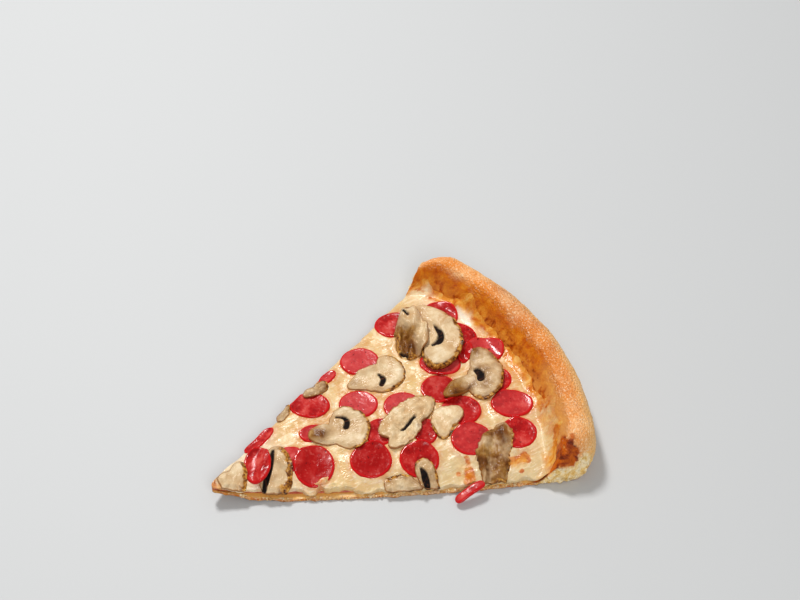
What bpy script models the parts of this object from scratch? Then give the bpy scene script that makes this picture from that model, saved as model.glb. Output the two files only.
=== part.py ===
"""One slice of sausage and mushroom pizza, lying flat on its base.

The slice points along -Y, its crust is at +Y, and the cut where the topping runs down to the
bottom edge is on the +X side. Lengths are in millimetres until add_solid writes a mesh.
Places on the slice are measured from the point where the two cuts would meet: x across, y along.
"""

import math

import bpy
import numpy as np
from mathutils import Vector
from mathutils.bvhtree import BVHTree

MM = 0.001
GAP = 0.3

SLICE_LENGTH = 193.0
SLICE_ANGLE = math.radians(48.8)
CRUST_CENTRE = 46.0
TIP_CUT = 6.0
TIP_NOSE = 3.0
TIP_LIFT = 6.0
TIP_LIFT_REACH = 0.19
NEAR_BOW = 4.4
FAR_BOW = 0.6
BOW_SKEW = 0.8

CRUST_HEIGHT = 25.0
CRUST_WIDTH = 27.0
CRUST_CREST = 12.5
CRUST_EQUATOR = 9.5
CRUST_TUCK = 8.0
CRUST_END_PULL = 0.032
CRUST_END_START = 0.84
CRUST_END_DROP_FAR = 0.22
CRUST_END_DROP_NEAR = 0.48
CRUST_UNEVEN = 0.5
TORN_BULGE = 1.4

BASE_THICKNESS = 4.6
NEAR_EDGE_THICKNESS = 1.5
FAR_EDGE_THICKNESS = 3.8
NEAR_SLOPE = 27.0
FAR_SLOPE = 7.0
SAUCE_THICKNESS = 0.6
CHEESE_THICKNESS = 3.0
CHEESE_AT_NEAR_EDGE = 1.0
CHEESE_AT_FAR_EDGE = 2.0
CHEESE_ON_CRUST = 0.6
CHEESE_END = 19.0
CHEESE_WAVE = 0.45
CHEESE_WAVE_LENGTHS = (9.0, 11.0, 14.0)

ROUND_THICKNESS = 2.0
ROUND_STIFFNESS = 0.45
ROUND_RIM = 0.92
ROUND_RINGS = (0.55, 1.0)
MUSHROOM_STIFFNESS = 0.5
MUSHROOM_RIM = 0.7
MUSHROOM_RINGS = (0.5, 0.88, 1.0)
REST_GAP = 0.4
SETTLE_ROUNDS = 14

ACROSS_CELLS = 14
BASE_ROWS = 14
SLOPE_ROWS = 4
OUTER_ROWS = 6
ROUND_SIDES = 16
MUSHROOM_SIDES = 24

CRUST_COLOUR = (0.60, 0.29, 0.09)
SAUCE_COLOUR = (0.52, 0.10, 0.02)
CHEESE_COLOUR = (0.85, 0.68, 0.40)
SAUSAGE_COLOUR = (0.50, 0.03, 0.03)
MUSHROOM_COLOUR = (0.62, 0.47, 0.29)

# Sausage rounds in the order they were scattered:
# name, x, y, size along and across its turn, turn in degrees, reach past the cuts.
UNDER_ROUNDS = (
    ("sausage_01", -36.0, 101.0, 20.0, 18.0, 60, 2.0),
    ("sausage_02", -49.5, 128.0, 20.0, 17.5, 60, 2.0),
    ("sausage_03", -34.5, 82.0, 11.5, 6.5, 112, 1.5),
    ("sausage_04", -22.5, 66.0, 20.5, 16.5, 60, 1.0),
    ("sausage_05", -11.5, 87.5, 19.5, 18.0, 60, 0.0),
    ("sausage_06", 0.5, 106.0, 19.5, 18.0, 60, 0.0),
    ("sausage_10", 2.5, 43.5, 15.0, 14.0, 60, 0.0),
    ("sausage_11", -15.0, 34.5, 20.0, 7.5, 112, 1.5),
    ("sausage_12", -5.5, 60.0, 15.0, 11.0, 70, 0.0),
    ("sausage_13", 9.5, 88.5, 15.0, 17.0, 60, 0.0),
    ("sausage_21", 19.5, 108.5, 12.0, 16.0, 60, 0.0),
    ("sausage_15", 16.0, 130.5, 20.0, 18.5, 60, 0.0),
    ("sausage_19", -0.5, 127.5, 19.0, 18.0, 60, 0.0),
    ("sausage_27", -15.0, 136.0, 21.0, 17.0, 60, 0.0),
    ("sausage_23", -43.0, 151.0, 20.0, 19.0, 60, 0.0),
    ("sausage_24", -26.0, 153.0, 19.0, 18.0, 60, 0.0),
    ("sausage_25", -12.0, 160.0, 20.0, 16.5, 60, 0.0),
    ("sausage_26", -14.0, 150.0, 12.0, 7.0, 130, 0.0),
    ("sausage_28", 7.0, 154.5, 18.0, 17.0, 60, 0.0),
    ("sausage_17", 24.5, 154.5, 21.0, 17.0, 60, 0.0),
    ("sausage_16", 34.0, 126.0, 20.5, 19.5, 60, 0.0),
    ("sausage_18", 41.5, 148.0, 18.5, 18.5, 60, 0.0),
    ("sausage_14", 32.0, 98.0, 19.5, 19.5, 60, 0.0),
    ("sausage_08", 21.5, 77.0, 20.5, 19.5, 60, 0.0),
    ("sausage_07", 11.0, 51.5, 20.0, 23.0, 60, 0.0),
)

# Mushroom slices from the first laid to the last, each the joined outline of a few ovals:
# name, x, y, ovals (offset x and y, length, width, turn in degrees), thickness, reach past the cuts.
LOW_MUSHROOMS = (
    ("mushroom_10", 37.5, 82.5, ((2.0, 1.0, 16.5, 11.5, 60), (3.0, 3.0, 18.5, 9.5, 45)), 2.2, 0.0),
    ("mushroom_08", 43.5, 97.0, ((-2.5, 0.0, 16.0, 10.5, 175), (3.0, -1.0, 9.5, 8.0, 55)), 2.4, 0.0),
    ("mushroom_07", 5.0, 35.0, ((0.5, -0.5, 27.0, 15.0, 160), (1.5, -2.0, 22.0, 14.5, 130)), 2.8, 0.0),
    (
        "mushroom_04", 0.0, 74.0,
        ((0.0, 2.0, 23.0, 21.0, 145), (-1.0, -8.5, 19.5, 12.0, 70), (0.0, 2.0, 27.0, 18.5, 170)),
        3.0, 0.0,
    ),
    (
        "mushroom_02", -21.5, 106.5,
        ((-2.0, -3.5, 29.5, 12.0, 90), (1.0, -3.0, 24.0, 15.0, 55), (-1.5, 5.5, 21.0, 13.0, 175)),
        2.8, 0.0,
    ),
    ("mushroom_05", 12.5, 102.0, ((4.5, -3.5, 21.0, 9.5, 105), (-4.5, 2.0, 36.0, 15.5, 105)), 3.0, 0.0),
    ("mushroom_06", 17.0, 118.5, ((2.0, -0.5, 19.5, 11.0, 155), (0.5, 3.0, 18.5, 12.5, 100)), 2.8, 0.0),
    (
        "mushroom_03", 3.0, 147.0,
        ((-2.5, 7.0, 28.0, 15.0, 170), (1.5, 4.0, 27.5, 19.0, 140), (0.5, -10.0, 23.5, 9.0, 105)),
        3.4, 0.0,
    ),
    (
        "mushroom_01", -29.0, 141.0,
        ((6.5, 0.5, 30.5, 19.5, 130), (-8.0, 2.5, 34.0, 21.5, 25), (-2.0, -4.5, 42.0, 10.5, 0)),
        4.6, 0.5,
    ),
)
HIGH_MUSHROOMS = (
    ("mushroom_12", -24.5, 52.5, ((0.0, 0.0, 10.5, 5.5, 125),), 2.2, 2.0),
    ("mushroom_11", -29.5, 73.0, ((0.0, 0.0, 15.0, 7.5, 100),), 2.4, 2.0),
    ("mushroom_14", -36.5, 130.0, ((0.5, 1.0, 27.0, 17.5, 160), (-1.5, 0.5, 32.5, 15.0, 150)), 3.0, 0.5),
    ("mushroom_09", 48.5, 131.5, ((1.5, -1.0, 38.0, 14.0, 145), (-4.5, 2.0, 28.5, 15.5, 125)), 3.0, 0.5),
)

# What lies on the mushroom slice near the tip: a leaning round, then the slice over the tip itself.
TIP_ROUND = ("sausage_09", -1.0, 27.0, 13.5, 20.5, 60, 0.0)
TIP_MUSHROOM = ("mushroom_13", 1.5, 14.5, ((0.0, -2.5, 14.5, 11.0, 75), (0.0, 1.0, 20.0, 9.0, 150)), 2.2, 0.0)

# The sliver of sausage that hangs out of the near cut: its two ends as x, y, z.
SLIVER_TOP = (57.5, 119.5, 6.0)
SLIVER_FOOT = (59.0, 103.0, 2.4)
SLIVER_WIDTH = 4.6
SLIVER_THICKNESS = 2.2
SLIVER_STATIONS = 7


def edge_share(u, start):
    """How far u is into the outer part of the slice's width: 0 up to start, 1 at a cut."""
    return np.clip((np.abs(u) - start) / (1.0 - start), 0.0, 1.0)


def smooth(value):
    """A soft step from 0 to 1."""
    value = np.clip(value, 0.0, 1.0)
    return value * value * (3.0 - 2.0 * value)


def cut_length():
    """Length of each cut from the point where the cuts would meet to the crust's arc."""
    half = SLICE_ANGLE / 2
    radius = SLICE_LENGTH - CRUST_CENTRE
    return CRUST_CENTRE * math.cos(half) + math.sqrt(radius**2 - (CRUST_CENTRE * math.sin(half)) ** 2)


def plan(u, t):
    """Place on the floor of a point u across (-1 far cut, 1 near cut) and t along (0 tip, 1 crust)."""
    half = SLICE_ANGLE / 2
    length = cut_length()
    pulled = t * (1.0 - CRUST_END_PULL * edge_share(u, CRUST_END_START) ** 2)
    along = TIP_CUT + (length - TIP_CUT) * pulled
    crust_bulge = SLICE_LENGTH - length * math.cos(half)
    bulge = (crust_bulge + TIP_NOSE) * pulled - TIP_NOSE
    swell = np.sin(math.pi * pulled**BOW_SKEW)
    bow = (NEAR_BOW * (1.0 + u) - FAR_BOW * (1.0 - u)) / 2 * swell
    return u * along * math.sin(half) + bow, along * math.cos(half) + bulge * (1.0 - u * u)


def from_crust(t):
    """Distance in from the outside of the crust, measured down the middle of the slice."""
    return (1.0 - t) * (SLICE_LENGTH - TIP_CUT)


def tip_rise(t):
    """The baked tip curls up off the surface below it."""
    return TIP_LIFT * np.clip(1.0 - t / TIP_LIFT_REACH, 0.0, 1.0) ** 2


def width_at(t):
    return 2.0 * (TIP_CUT + (cut_length() - TIP_CUT) * t) * math.sin(SLICE_ANGLE / 2)


def edge_falls(u, t):
    """Shares of the fall towards the near cut and the far cut: 1 at the cut, 0 further in."""
    near = (1.0 - u) / 2 * width_at(t)
    far = (1.0 + u) / 2 * width_at(t)
    near_fall = np.clip(1.0 - near / NEAR_SLOPE, 0.0, 1.0) ** 2
    far_fall = np.clip(1.0 - far / FAR_SLOPE, 0.0, 1.0) ** 2
    return near_fall, far_fall


def base_top(u, t):
    near_fall, far_fall = edge_falls(u, t)
    near_drop = (BASE_THICKNESS - NEAR_EDGE_THICKNESS) * near_fall
    far_drop = (BASE_THICKNESS - FAR_EDGE_THICKNESS) * far_fall
    return BASE_THICKNESS - np.maximum(near_drop, far_drop) + tip_rise(t)


def crust_crest(u):
    """Height of the crust's ridge, lower at its two ends and a little uneven between them."""
    drop = np.where(u > 0, CRUST_END_DROP_NEAR, CRUST_END_DROP_FAR)
    uneven = CRUST_UNEVEN * (np.sin(5.3 * u + 0.6) + 0.7 * np.sin(11.0 * u))
    return CRUST_HEIGHT * (1.0 - drop * edge_share(u, CRUST_END_START) ** 2) + uneven


def dough_top(u, t):
    inward = from_crust(t)
    base = base_top(u, t)
    crest = crust_crest(u)
    outside = np.clip((CRUST_CREST - inward) / CRUST_CREST, 0.0, 1.0)
    outer = CRUST_EQUATOR + (crest - CRUST_EQUATOR) * np.sqrt(1.0 - outside**2)
    slope = np.clip((inward - CRUST_CREST) / (CRUST_WIDTH - CRUST_CREST), 0.0, 1.0)
    inner = base + (crest - base) * (0.5 + 0.5 * np.cos(math.pi * slope))
    return np.where(inward < CRUST_CREST, outer, inner)


def dough_bottom(u, t):
    tuck = np.clip((CRUST_TUCK - from_crust(t)) / CRUST_TUCK, 0.0, 1.0)
    return CRUST_EQUATOR * (1.0 - np.sqrt(1.0 - tuck**2)) + tip_rise(t) + 0.0 * u


def sauce_bottom(u, t):
    return dough_top(u, t) + GAP


def sauce_top(u, t):
    return sauce_bottom(u, t) + SAUCE_THICKNESS


def cheese_bottom(u, t):
    return sauce_top(u, t) + GAP


def cheese_top(u, t):
    """The cheese thins towards the cuts and the crust, and sags in long waves."""
    near_fall, far_fall = edge_falls(u, t)
    near_loss = (CHEESE_THICKNESS - CHEESE_AT_NEAR_EDGE) * near_fall
    far_loss = (CHEESE_THICKNESS - CHEESE_AT_FAR_EDGE) * far_fall
    thickness = CHEESE_THICKNESS - np.maximum(near_loss, far_loss)
    on_crust = smooth((CRUST_WIDTH - from_crust(t)) / (CRUST_WIDTH - CHEESE_END))
    thickness = thickness * (1.0 - on_crust) + CHEESE_ON_CRUST * on_crust
    x, y = plan(u, t)
    first, second, third = CHEESE_WAVE_LENGTHS
    wave = np.sin(x / first + 0.7) * np.sin(y / second) + 0.6 * np.sin((x + y) / third)
    calm = (1.0 - on_crust) * (1.0 - near_fall)
    return cheese_bottom(u, t) + thickness + CHEESE_WAVE * wave * calm


def rows_up_to(end):
    """Values of t from the tip to the crust's foot, then up the crust as far as end."""
    length = SLICE_LENGTH - TIP_CUT
    foot = 1.0 - CRUST_WIDTH / length
    base = foot * np.linspace(0.0, 1.0, BASE_ROWS) ** 1.15
    covered = np.linspace(CRUST_WIDTH, CHEESE_END, SLOPE_ROWS)[1:]
    bare = (CHEESE_END + CRUST_CREST) / 2
    turn = np.linspace(0.0, math.pi / 2, OUTER_ROWS)
    outer = CRUST_CREST * (1.0 - np.sin(turn))
    rows = np.concatenate([base, 1.0 - np.concatenate([covered, [bare], outer]) / length])
    return rows[rows <= end + 1e-9]


def columns():
    """Values of u from the far cut to the near cut, closer together near the cuts."""
    even = np.linspace(-1.0, 1.0, ACROSS_CELLS + 1)
    return even + 0.12 * np.sin(math.pi * even)


def add_solid(name, vertices, faces, material):
    """One object from points in millimetres and faces that turn outwards."""
    mesh = bpy.data.meshes.new(name)
    mesh.from_pydata([Vector(v) * MM for v in vertices], [], faces)
    mesh.update()
    mesh.shade_smooth()
    mesh.set_sharp_from_angle(angle=math.radians(40))
    mesh.materials.append(material)
    obj = bpy.data.objects.new(name, mesh)
    bpy.context.scene.collection.objects.link(obj)
    return obj


def layer(bottom, top, end, side_bulge):
    """Vertices and faces of a sheet between two height functions, closed round its edges.

    Each cut face has a middle row of points, pushed out by side_bulge(t) millimetres.
    """
    us = columns()
    ts = rows_up_to(end)
    across, along = np.meshgrid(us, ts)
    x, y = plan(across, along)
    low = bottom(across, along)
    high = top(across, along)
    wide, long = len(us), len(ts)
    vertices = [tuple(p) for p in np.stack([x, y, low], axis=-1).reshape(-1, 3)]
    shared = {}
    for j in range(long):
        for i in range(wide):
            below = j * wide + i
            if high[j, i] - low[j, i] < 0.01:
                shared[j, i] = below
                continue
            shared[j, i] = len(vertices)
            vertices.append((x[j, i], y[j, i], high[j, i]))
    faces = []
    for j in range(long - 1):
        for i in range(wide - 1):
            a, b = j * wide + i, j * wide + i + 1
            c, d = b + wide, a + wide
            faces.append((a, d, c))
            faces.append((a, c, b))
            faces.append((shared[j, i], shared[j, i + 1], shared[j + 1, i + 1]))
            faces.append((shared[j, i], shared[j + 1, i + 1], shared[j + 1, i]))
    far_middles = cut_middles(vertices, shared, ts, wide, 0, side_bulge)
    near_middles = cut_middles(vertices, shared, ts, wide, wide - 1, side_bulge)
    faces.extend(cut_faces(shared, far_middles, wide, 0))
    faces.extend(cut_faces(shared, near_middles, wide, wide - 1))
    for j in (0, long - 1):
        for i in range(wide - 1):
            face = [j * wide + i, j * wide + i + 1]
            if i == wide - 2:
                face.append(near_middles[j])
            face += [shared[j, i + 1], shared[j, i]]
            if i == 0:
                face.append(far_middles[j])
            face = list(dict.fromkeys(face))
            if len(face) > 2:
                faces.append(tuple(face if j == 0 else face[::-1]))
    return vertices, faces


def cut_middles(vertices, shared, ts, wide, column, side_bulge):
    """Points halfway up the side of a sheet at one of the cuts, appended to vertices."""
    outward = -1.0 if column == 0 else 1.0
    middles = []
    for j, t in enumerate(ts):
        low, high = j * wide + column, shared[j, column]
        if low == high:
            middles.append(low)
            continue
        x, y, _ = vertices[low]
        height = (vertices[low][2] + vertices[high][2]) / 2
        middles.append(len(vertices))
        vertices.append((x + outward * side_bulge(t), y, height))
    return middles


def cut_faces(shared, middles, wide, column):
    """The side of a sheet at one of the cuts, in a lower and an upper row of faces."""
    faces = []
    for j in range(len(middles) - 1):
        lows = (j * wide + column, (j + 1) * wide + column)
        highs = (shared[j, column], shared[j + 1, column])
        mids = (middles[j], middles[j + 1])
        for under, over in ((lows, mids), (mids, highs)):
            face = [under[0], under[1], over[1], over[0]]
            face = list(dict.fromkeys(face if column else face[::-1]))
            if len(face) > 2:
                faces.append(tuple(face))
    return faces


def torn_bulge(t):
    """The torn crust bulges a little at both ends; the base is cut straight."""
    return TORN_BULGE * float(smooth((CRUST_WIDTH - from_crust(t)) / CRUST_CREST))


def no_bulge(t):
    return 0.0 * t


class Heap:
    """All that has been laid so far, to rest the next piece on."""

    def __init__(self):
        self.vertices = []
        self.faces = []
        self.tree = None

    def add(self, vertices, faces):
        start = len(self.vertices)
        self.vertices.extend(Vector(v) for v in vertices)
        self.faces.extend(tuple(start + k for k in face) for face in faces)
        self.tree = BVHTree.FromPolygons(self.vertices, self.faces)

    def height(self, x, y):
        """Height of the highest surface at a place, or None off the slice."""
        hit = self.tree.ray_cast(Vector((x, y, 200.0)), Vector((0.0, 0.0, -1.0)))
        return None if hit[0] is None else hit[0].z


def inside_cuts(x, y, past):
    """Whether a place lies between the two cuts, or within past millimetres outside them."""
    half = SLICE_ANGLE / 2
    share = np.clip((y / math.cos(half) - TIP_CUT) / (cut_length() - TIP_CUT), 0.0, 1.0)
    swell = math.sin(math.pi * share**BOW_SKEW)
    near = (y * math.sin(half) - x * math.cos(half)) + NEAR_BOW * swell
    far = (y * math.sin(half) + x * math.cos(half)) + FAR_BOW * swell
    return near > -past and far > -past and y > TIP_CUT - past


def trimmed(x, y, angle, reach, past):
    """The reach of a piece's outline, shortened where the slice was cut through it."""
    low, high = 0.0, reach
    if inside_cuts(x + reach * math.cos(angle), y + reach * math.sin(angle), past):
        return reach
    for _ in range(12):
        middle = (low + high) / 2
        if inside_cuts(x + middle * math.cos(angle), y + middle * math.sin(angle), past):
            low = middle
        else:
            high = middle
    return low


def ovals_reach(ovals):
    """Distance from a piece's centre to the joined outline of its ovals, in each direction.

    Every oval holds the centre, so each direction meets each outline once.
    """

    def reach(angle):
        farthest = 0.0
        for x, y, length, width, turn in ovals:
            turned = math.radians(turn)
            across_x = math.cos(angle - turned) / (length / 2)
            across_y = math.sin(angle - turned) / (width / 2)
            from_x = (x * math.cos(turned) + y * math.sin(turned)) / (length / 2)
            from_y = (y * math.cos(turned) - x * math.sin(turned)) / (width / 2)
            a = across_x**2 + across_y**2
            b = across_x * from_x + across_y * from_y
            c = from_x**2 + from_y**2 - 1.0
            farthest = max(farthest, (b + math.sqrt(b * b - a * c)) / a)
        return farthest

    return reach


def plate(x, y, reach, past, count, rings):
    """Flat outline of a piece as a centre point and rings of points, with its triangles."""
    points = [(x, y)]
    angles = [2 * math.pi * k / count for k in range(count)]
    outline = [trimmed(x, y, angle, reach(angle), past) for angle in angles]
    for share in rings:
        for angle, edge in zip(angles, outline):
            points.append((x + share * edge * math.cos(angle), y + share * edge * math.sin(angle)))
    triangles = [(0, 1 + k, 1 + (k + 1) % count) for k in range(count)]
    for ring in range(len(rings) - 1):
        inner, outer = 1 + ring * count, 1 + (ring + 1) * count
        for k in range(count):
            after = (k + 1) % count
            triangles.append((inner + k, outer + k, outer + after))
            triangles.append((inner + k, outer + after, inner + after))
    return np.array(points), triangles


def rest_on(heap, points, triangles, stiffness):
    """Heights of a plate's underside: a stiff plate tilts, a limp one follows what is below it."""
    steps = [(i, j) for i in range(7) for j in range(7 - i)]
    weights = np.array([(i / 6, j / 6, (6 - i - j) / 6) for i, j in steps])
    corners = np.array(triangles)
    places = np.einsum("sk,tkd->tsd", weights, points[corners]).reshape(-1, 2)
    found = [heap.height(px, py) for px, py in places]
    known = np.array([f is not None for f in found])
    under = np.array([f if f is not None else -1e3 for f in found])
    design = np.column_stack([places, np.ones(len(places))])
    flat = np.linalg.lstsq(design[known], under[known], rcond=None)[0]
    plane = np.column_stack([points, np.ones(len(points))]) @ flat
    below = [heap.height(px, py) for px, py in points]
    local = np.array([b if b is not None else p for b, p in zip(below, plane)])
    heights = stiffness * plane + (1.0 - stiffness) * np.minimum(local, plane + 1.0)
    owner = np.repeat(corners, len(weights), axis=0)
    share = np.tile(weights, (len(corners), 1))
    power = (share**2).sum(axis=1)
    for _ in range(SETTLE_ROUNDS):
        heights = plane + evened(heights - plane, corners)
        lack = under + REST_GAP - (heights[owner] * share).sum(axis=1)
        rise = np.clip(lack, 0.0, None) / power
        lift = np.zeros(len(points))
        for k in range(3):
            np.maximum.at(lift, owner[:, k], rise * share[:, k])
        heights = heights + lift
    return heights


def evened(values, corners):
    """Values at points drawn halfway towards the mean of their neighbours in the triangles."""
    total = np.zeros(len(values))
    count = np.zeros(len(values))
    for k in range(3):
        for other in ((k + 1) % 3, (k + 2) % 3):
            np.add.at(total, corners[:, k], values[corners[:, other]])
            np.add.at(count, corners[:, k], 1.0)
    return 0.5 * values + 0.5 * total / count


def slab(points, triangles, heights, thickness, count, rim_share):
    """A closed plate over an underside; its upper rim is rounded down by rim_share of its thickness."""
    size = len(points)
    lift = np.full(size, thickness)
    lift[size - count :] = thickness * rim_share
    vertices = [(px, py, h) for (px, py), h in zip(points, heights)]
    vertices += [(px, py, h + up) for (px, py), h, up in zip(points, heights, lift)]
    faces = [tuple(reversed(face)) for face in triangles]
    faces += [tuple(size + k for k in face) for face in triangles]
    rim = size - count
    for k in range(count):
        after = (k + 1) % count
        faces.append((rim + k, rim + after, size + rim + after))
        faces.append((rim + k, size + rim + after, size + rim + k))
    return vertices, faces


def lay_round(heap, entry, material):
    name, x, y, length, width, turn, past = entry
    reach = ovals_reach(((0.0, 0.0, length, width, turn),))
    points, triangles = plate(x, y, reach, past, ROUND_SIDES, ROUND_RINGS)
    heights = rest_on(heap, points, triangles, ROUND_STIFFNESS)
    vertices, faces = slab(points, triangles, heights, ROUND_THICKNESS, ROUND_SIDES, ROUND_RIM)
    heap.add(vertices, faces)
    return add_solid(name, vertices, faces, material)


def lay_mushroom(heap, entry, material):
    name, x, y, ovals, thickness, past = entry
    points, triangles = plate(x, y, ovals_reach(ovals), past, MUSHROOM_SIDES, MUSHROOM_RINGS)
    heights = rest_on(heap, points, triangles, MUSHROOM_STIFFNESS)
    vertices, faces = slab(points, triangles, heights, thickness, MUSHROOM_SIDES, MUSHROOM_RIM)
    heap.add(vertices, faces)
    return add_solid(name, vertices, faces, material)


def lay_sliver(heap, material):
    """A narrow strip that sags from the near cut down towards the surface below."""
    top, foot = np.array(SLIVER_TOP), np.array(SLIVER_FOOT)
    forward = (foot - top) / np.linalg.norm(foot - top)
    side = np.cross(forward, (0.0, 0.0, 1.0))
    side /= np.linalg.norm(side)
    up = np.cross(side, forward)
    vertices = []
    for share in np.linspace(0.0, 1.0, SLIVER_STATIONS):
        middle = top + (foot - top) * share + up * 0.8 * math.sin(math.pi * share)
        half = SLIVER_WIDTH / 2 * math.sqrt(max(1.0 - (2 * share - 1) ** 4, 0.12))
        for across, height in ((-1, -0.5), (1, -0.5), (1, 0.5), (-1, 0.5)):
            vertices.append(tuple(middle + side * across * half + up * height * SLIVER_THICKNESS))
    faces = [(0, 1, 2, 3)]
    for k in range(SLIVER_STATIONS - 1):
        start, after = 4 * k, 4 * (k + 1)
        for i in range(4):
            j = (i + 1) % 4
            faces.append((start + i, after + i, after + j, start + j))
    last = 4 * (SLIVER_STATIONS - 1)
    faces.append((last + 3, last + 2, last + 1, last))
    heap.add(vertices, faces)
    return add_solid("sausage_22", vertices, faces, material)


def food_material(name, colour, roughness):
    material = bpy.data.materials.new(name)
    material.use_nodes = True
    shader = material.node_tree.nodes["Principled BSDF"]
    shader.inputs["Base Color"].default_value = (*colour, 1.0)
    shader.inputs["Roughness"].default_value = roughness
    shader.inputs["Metallic"].default_value = 0.0
    return material


def centre_on_base(objects):
    """Moves the slice so that the middle of its bounding box's underside is the origin."""
    corners = np.array([v.co for obj in objects for v in obj.data.vertices])
    low, high = corners.min(axis=0), corners.max(axis=0)
    shift = Vector((-(low[0] + high[0]) / 2, -(low[1] + high[1]) / 2, -low[2]))
    holder = bpy.data.objects.new("slice_origin", None)
    bpy.context.scene.collection.objects.link(holder)
    holder.location = shift
    for obj in objects:
        obj.parent = holder


def build():
    for obj in list(bpy.data.objects):
        bpy.data.objects.remove(obj, do_unlink=True)

    crust = food_material("baked_dough", CRUST_COLOUR, 0.65)
    sauce = food_material("tomato_sauce", SAUCE_COLOUR, 0.35)
    cheese = food_material("melted_cheese", CHEESE_COLOUR, 0.35)
    sausage = food_material("sausage", SAUSAGE_COLOUR, 0.35)
    mushroom = food_material("mushroom", MUSHROOM_COLOUR, 0.5)

    heap = Heap()
    cheese_end = 1.0 - CHEESE_END / (SLICE_LENGTH - TIP_CUT)
    layers = (
        ("dough", dough_bottom, dough_top, 1.0, torn_bulge, crust),
        ("sauce", sauce_bottom, sauce_top, cheese_end, no_bulge, sauce),
        ("cheese", cheese_bottom, cheese_top, cheese_end, no_bulge, cheese),
    )
    objects = []
    for name, bottom, top, end, side_bulge, material in layers:
        vertices, faces = layer(bottom, top, end, side_bulge)
        heap.add(vertices, faces)
        objects.append(add_solid(name, vertices, faces, material))

    objects += [lay_round(heap, entry, sausage) for entry in UNDER_ROUNDS]
    objects += [lay_mushroom(heap, entry, mushroom) for entry in LOW_MUSHROOMS]
    objects.append(lay_sliver(heap, sausage))
    objects += [lay_mushroom(heap, entry, mushroom) for entry in HIGH_MUSHROOMS]
    objects.append(lay_round(heap, TIP_ROUND, sausage))
    objects.append(lay_mushroom(heap, TIP_MUSHROOM, mushroom))
    centre_on_base(objects)


build()
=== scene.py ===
import math

import bmesh
import bpy
import numpy as np
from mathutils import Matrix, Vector, noise


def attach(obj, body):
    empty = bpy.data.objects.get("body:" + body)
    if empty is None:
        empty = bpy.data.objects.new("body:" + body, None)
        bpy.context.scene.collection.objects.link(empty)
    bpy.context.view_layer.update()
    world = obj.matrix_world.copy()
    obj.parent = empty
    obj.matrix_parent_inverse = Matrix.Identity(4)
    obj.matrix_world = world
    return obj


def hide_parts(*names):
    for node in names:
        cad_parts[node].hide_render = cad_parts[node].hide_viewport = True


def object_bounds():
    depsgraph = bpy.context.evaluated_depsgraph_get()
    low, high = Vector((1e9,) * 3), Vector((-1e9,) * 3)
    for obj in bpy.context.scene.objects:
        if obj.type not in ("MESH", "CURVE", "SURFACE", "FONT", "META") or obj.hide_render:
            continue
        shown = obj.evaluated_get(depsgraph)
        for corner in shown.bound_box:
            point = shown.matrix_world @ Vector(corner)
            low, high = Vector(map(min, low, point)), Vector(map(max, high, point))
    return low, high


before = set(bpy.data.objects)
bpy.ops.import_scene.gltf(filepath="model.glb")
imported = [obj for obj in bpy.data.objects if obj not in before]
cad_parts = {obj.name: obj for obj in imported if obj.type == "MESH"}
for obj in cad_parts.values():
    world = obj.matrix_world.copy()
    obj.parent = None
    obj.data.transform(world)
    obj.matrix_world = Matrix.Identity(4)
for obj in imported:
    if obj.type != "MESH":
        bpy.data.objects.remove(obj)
cadBox = [list(corner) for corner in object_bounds()]
print("frame loaded")

mm = 0.001
boxLow, boxHigh = (np.array(corner) / mm for corner in cadBox)
originShift = np.array([-0.168, -97.732, 0.0])  # from where the two cuts would meet to the model's origin, mm

# shape of the slice, the same sizes as the solids, all in mm
plan = {
    "length": 193.0, "angle": math.radians(48.8), "crustCentre": 46.0, "tipCut": 6.0, "tipNose": 3.0,
    "nearBow": 4.4, "farBow": 0.6, "bowSkew": 0.8, "endPull": 0.032, "endStart": 0.84,
}
dough = {
    "crustHeight": 25.0, "crustWidth": 27.0, "crest": 12.5, "equator": 9.5, "tuck": 8.0,
    "dropFar": 0.22, "dropNear": 0.48, "uneven": 0.5, "tornBulge": 1.4,
    "base": 4.6, "nearEdge": 1.5, "farEdge": 3.8, "nearSlope": 27.0, "farSlope": 7.0,
    "tipLift": 6.0, "tipReach": 0.19,
}
layers = {
    "gap": 0.3, "sauce": 0.6, "cheese": 3.0, "cheeseNear": 1.0, "cheeseFar": 2.0, "cheeseOnCrust": 0.6,
    "cheeseEnd": 19.0, "wave": 0.45, "waveLengths": (9.0, 11.0, 14.0),
}
half = plan["angle"] / 2
crustRadius = plan["length"] - plan["crustCentre"]
cutLength = plan["crustCentre"] * math.cos(half) + math.sqrt(
    crustRadius**2 - (plan["crustCentre"] * math.sin(half)) ** 2)
crustBulge = plan["length"] - cutLength * math.cos(half)


def smooth(value):
    value = np.clip(value, 0.0, 1.0)
    return value * value * (3.0 - 2.0 * value)


def fade(value, start, end):
    # 0 before the start, 1 past the end
    return smooth((value - start) / (end - start))


def held(value):
    return np.clip(value, 0.0, 1.0)


def edgeShare(u, start):
    return np.clip((np.abs(u) - start) / (1.0 - start), 0.0, 1.0)


def bowAt(u, pulled):
    swell = np.sin(math.pi * np.clip(pulled, 0.0, 1.0) ** plan["bowSkew"])
    return (plan["nearBow"] * (1.0 + u) - plan["farBow"] * (1.0 - u)) / 2 * swell


def placeAt(u, t):
    # u runs across from -1 at the far cut to 1 at the near cut, t from 0 at the tip to 1 outside the crust
    pulled = t * (1.0 - plan["endPull"] * edgeShare(u, plan["endStart"]) ** 2)
    along = plan["tipCut"] + (cutLength - plan["tipCut"]) * pulled
    bulge = (crustBulge + plan["tipNose"]) * pulled - plan["tipNose"]
    return u * along * math.sin(half) + bowAt(u, pulled), along * math.cos(half) + bulge * (1.0 - u * u)


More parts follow.
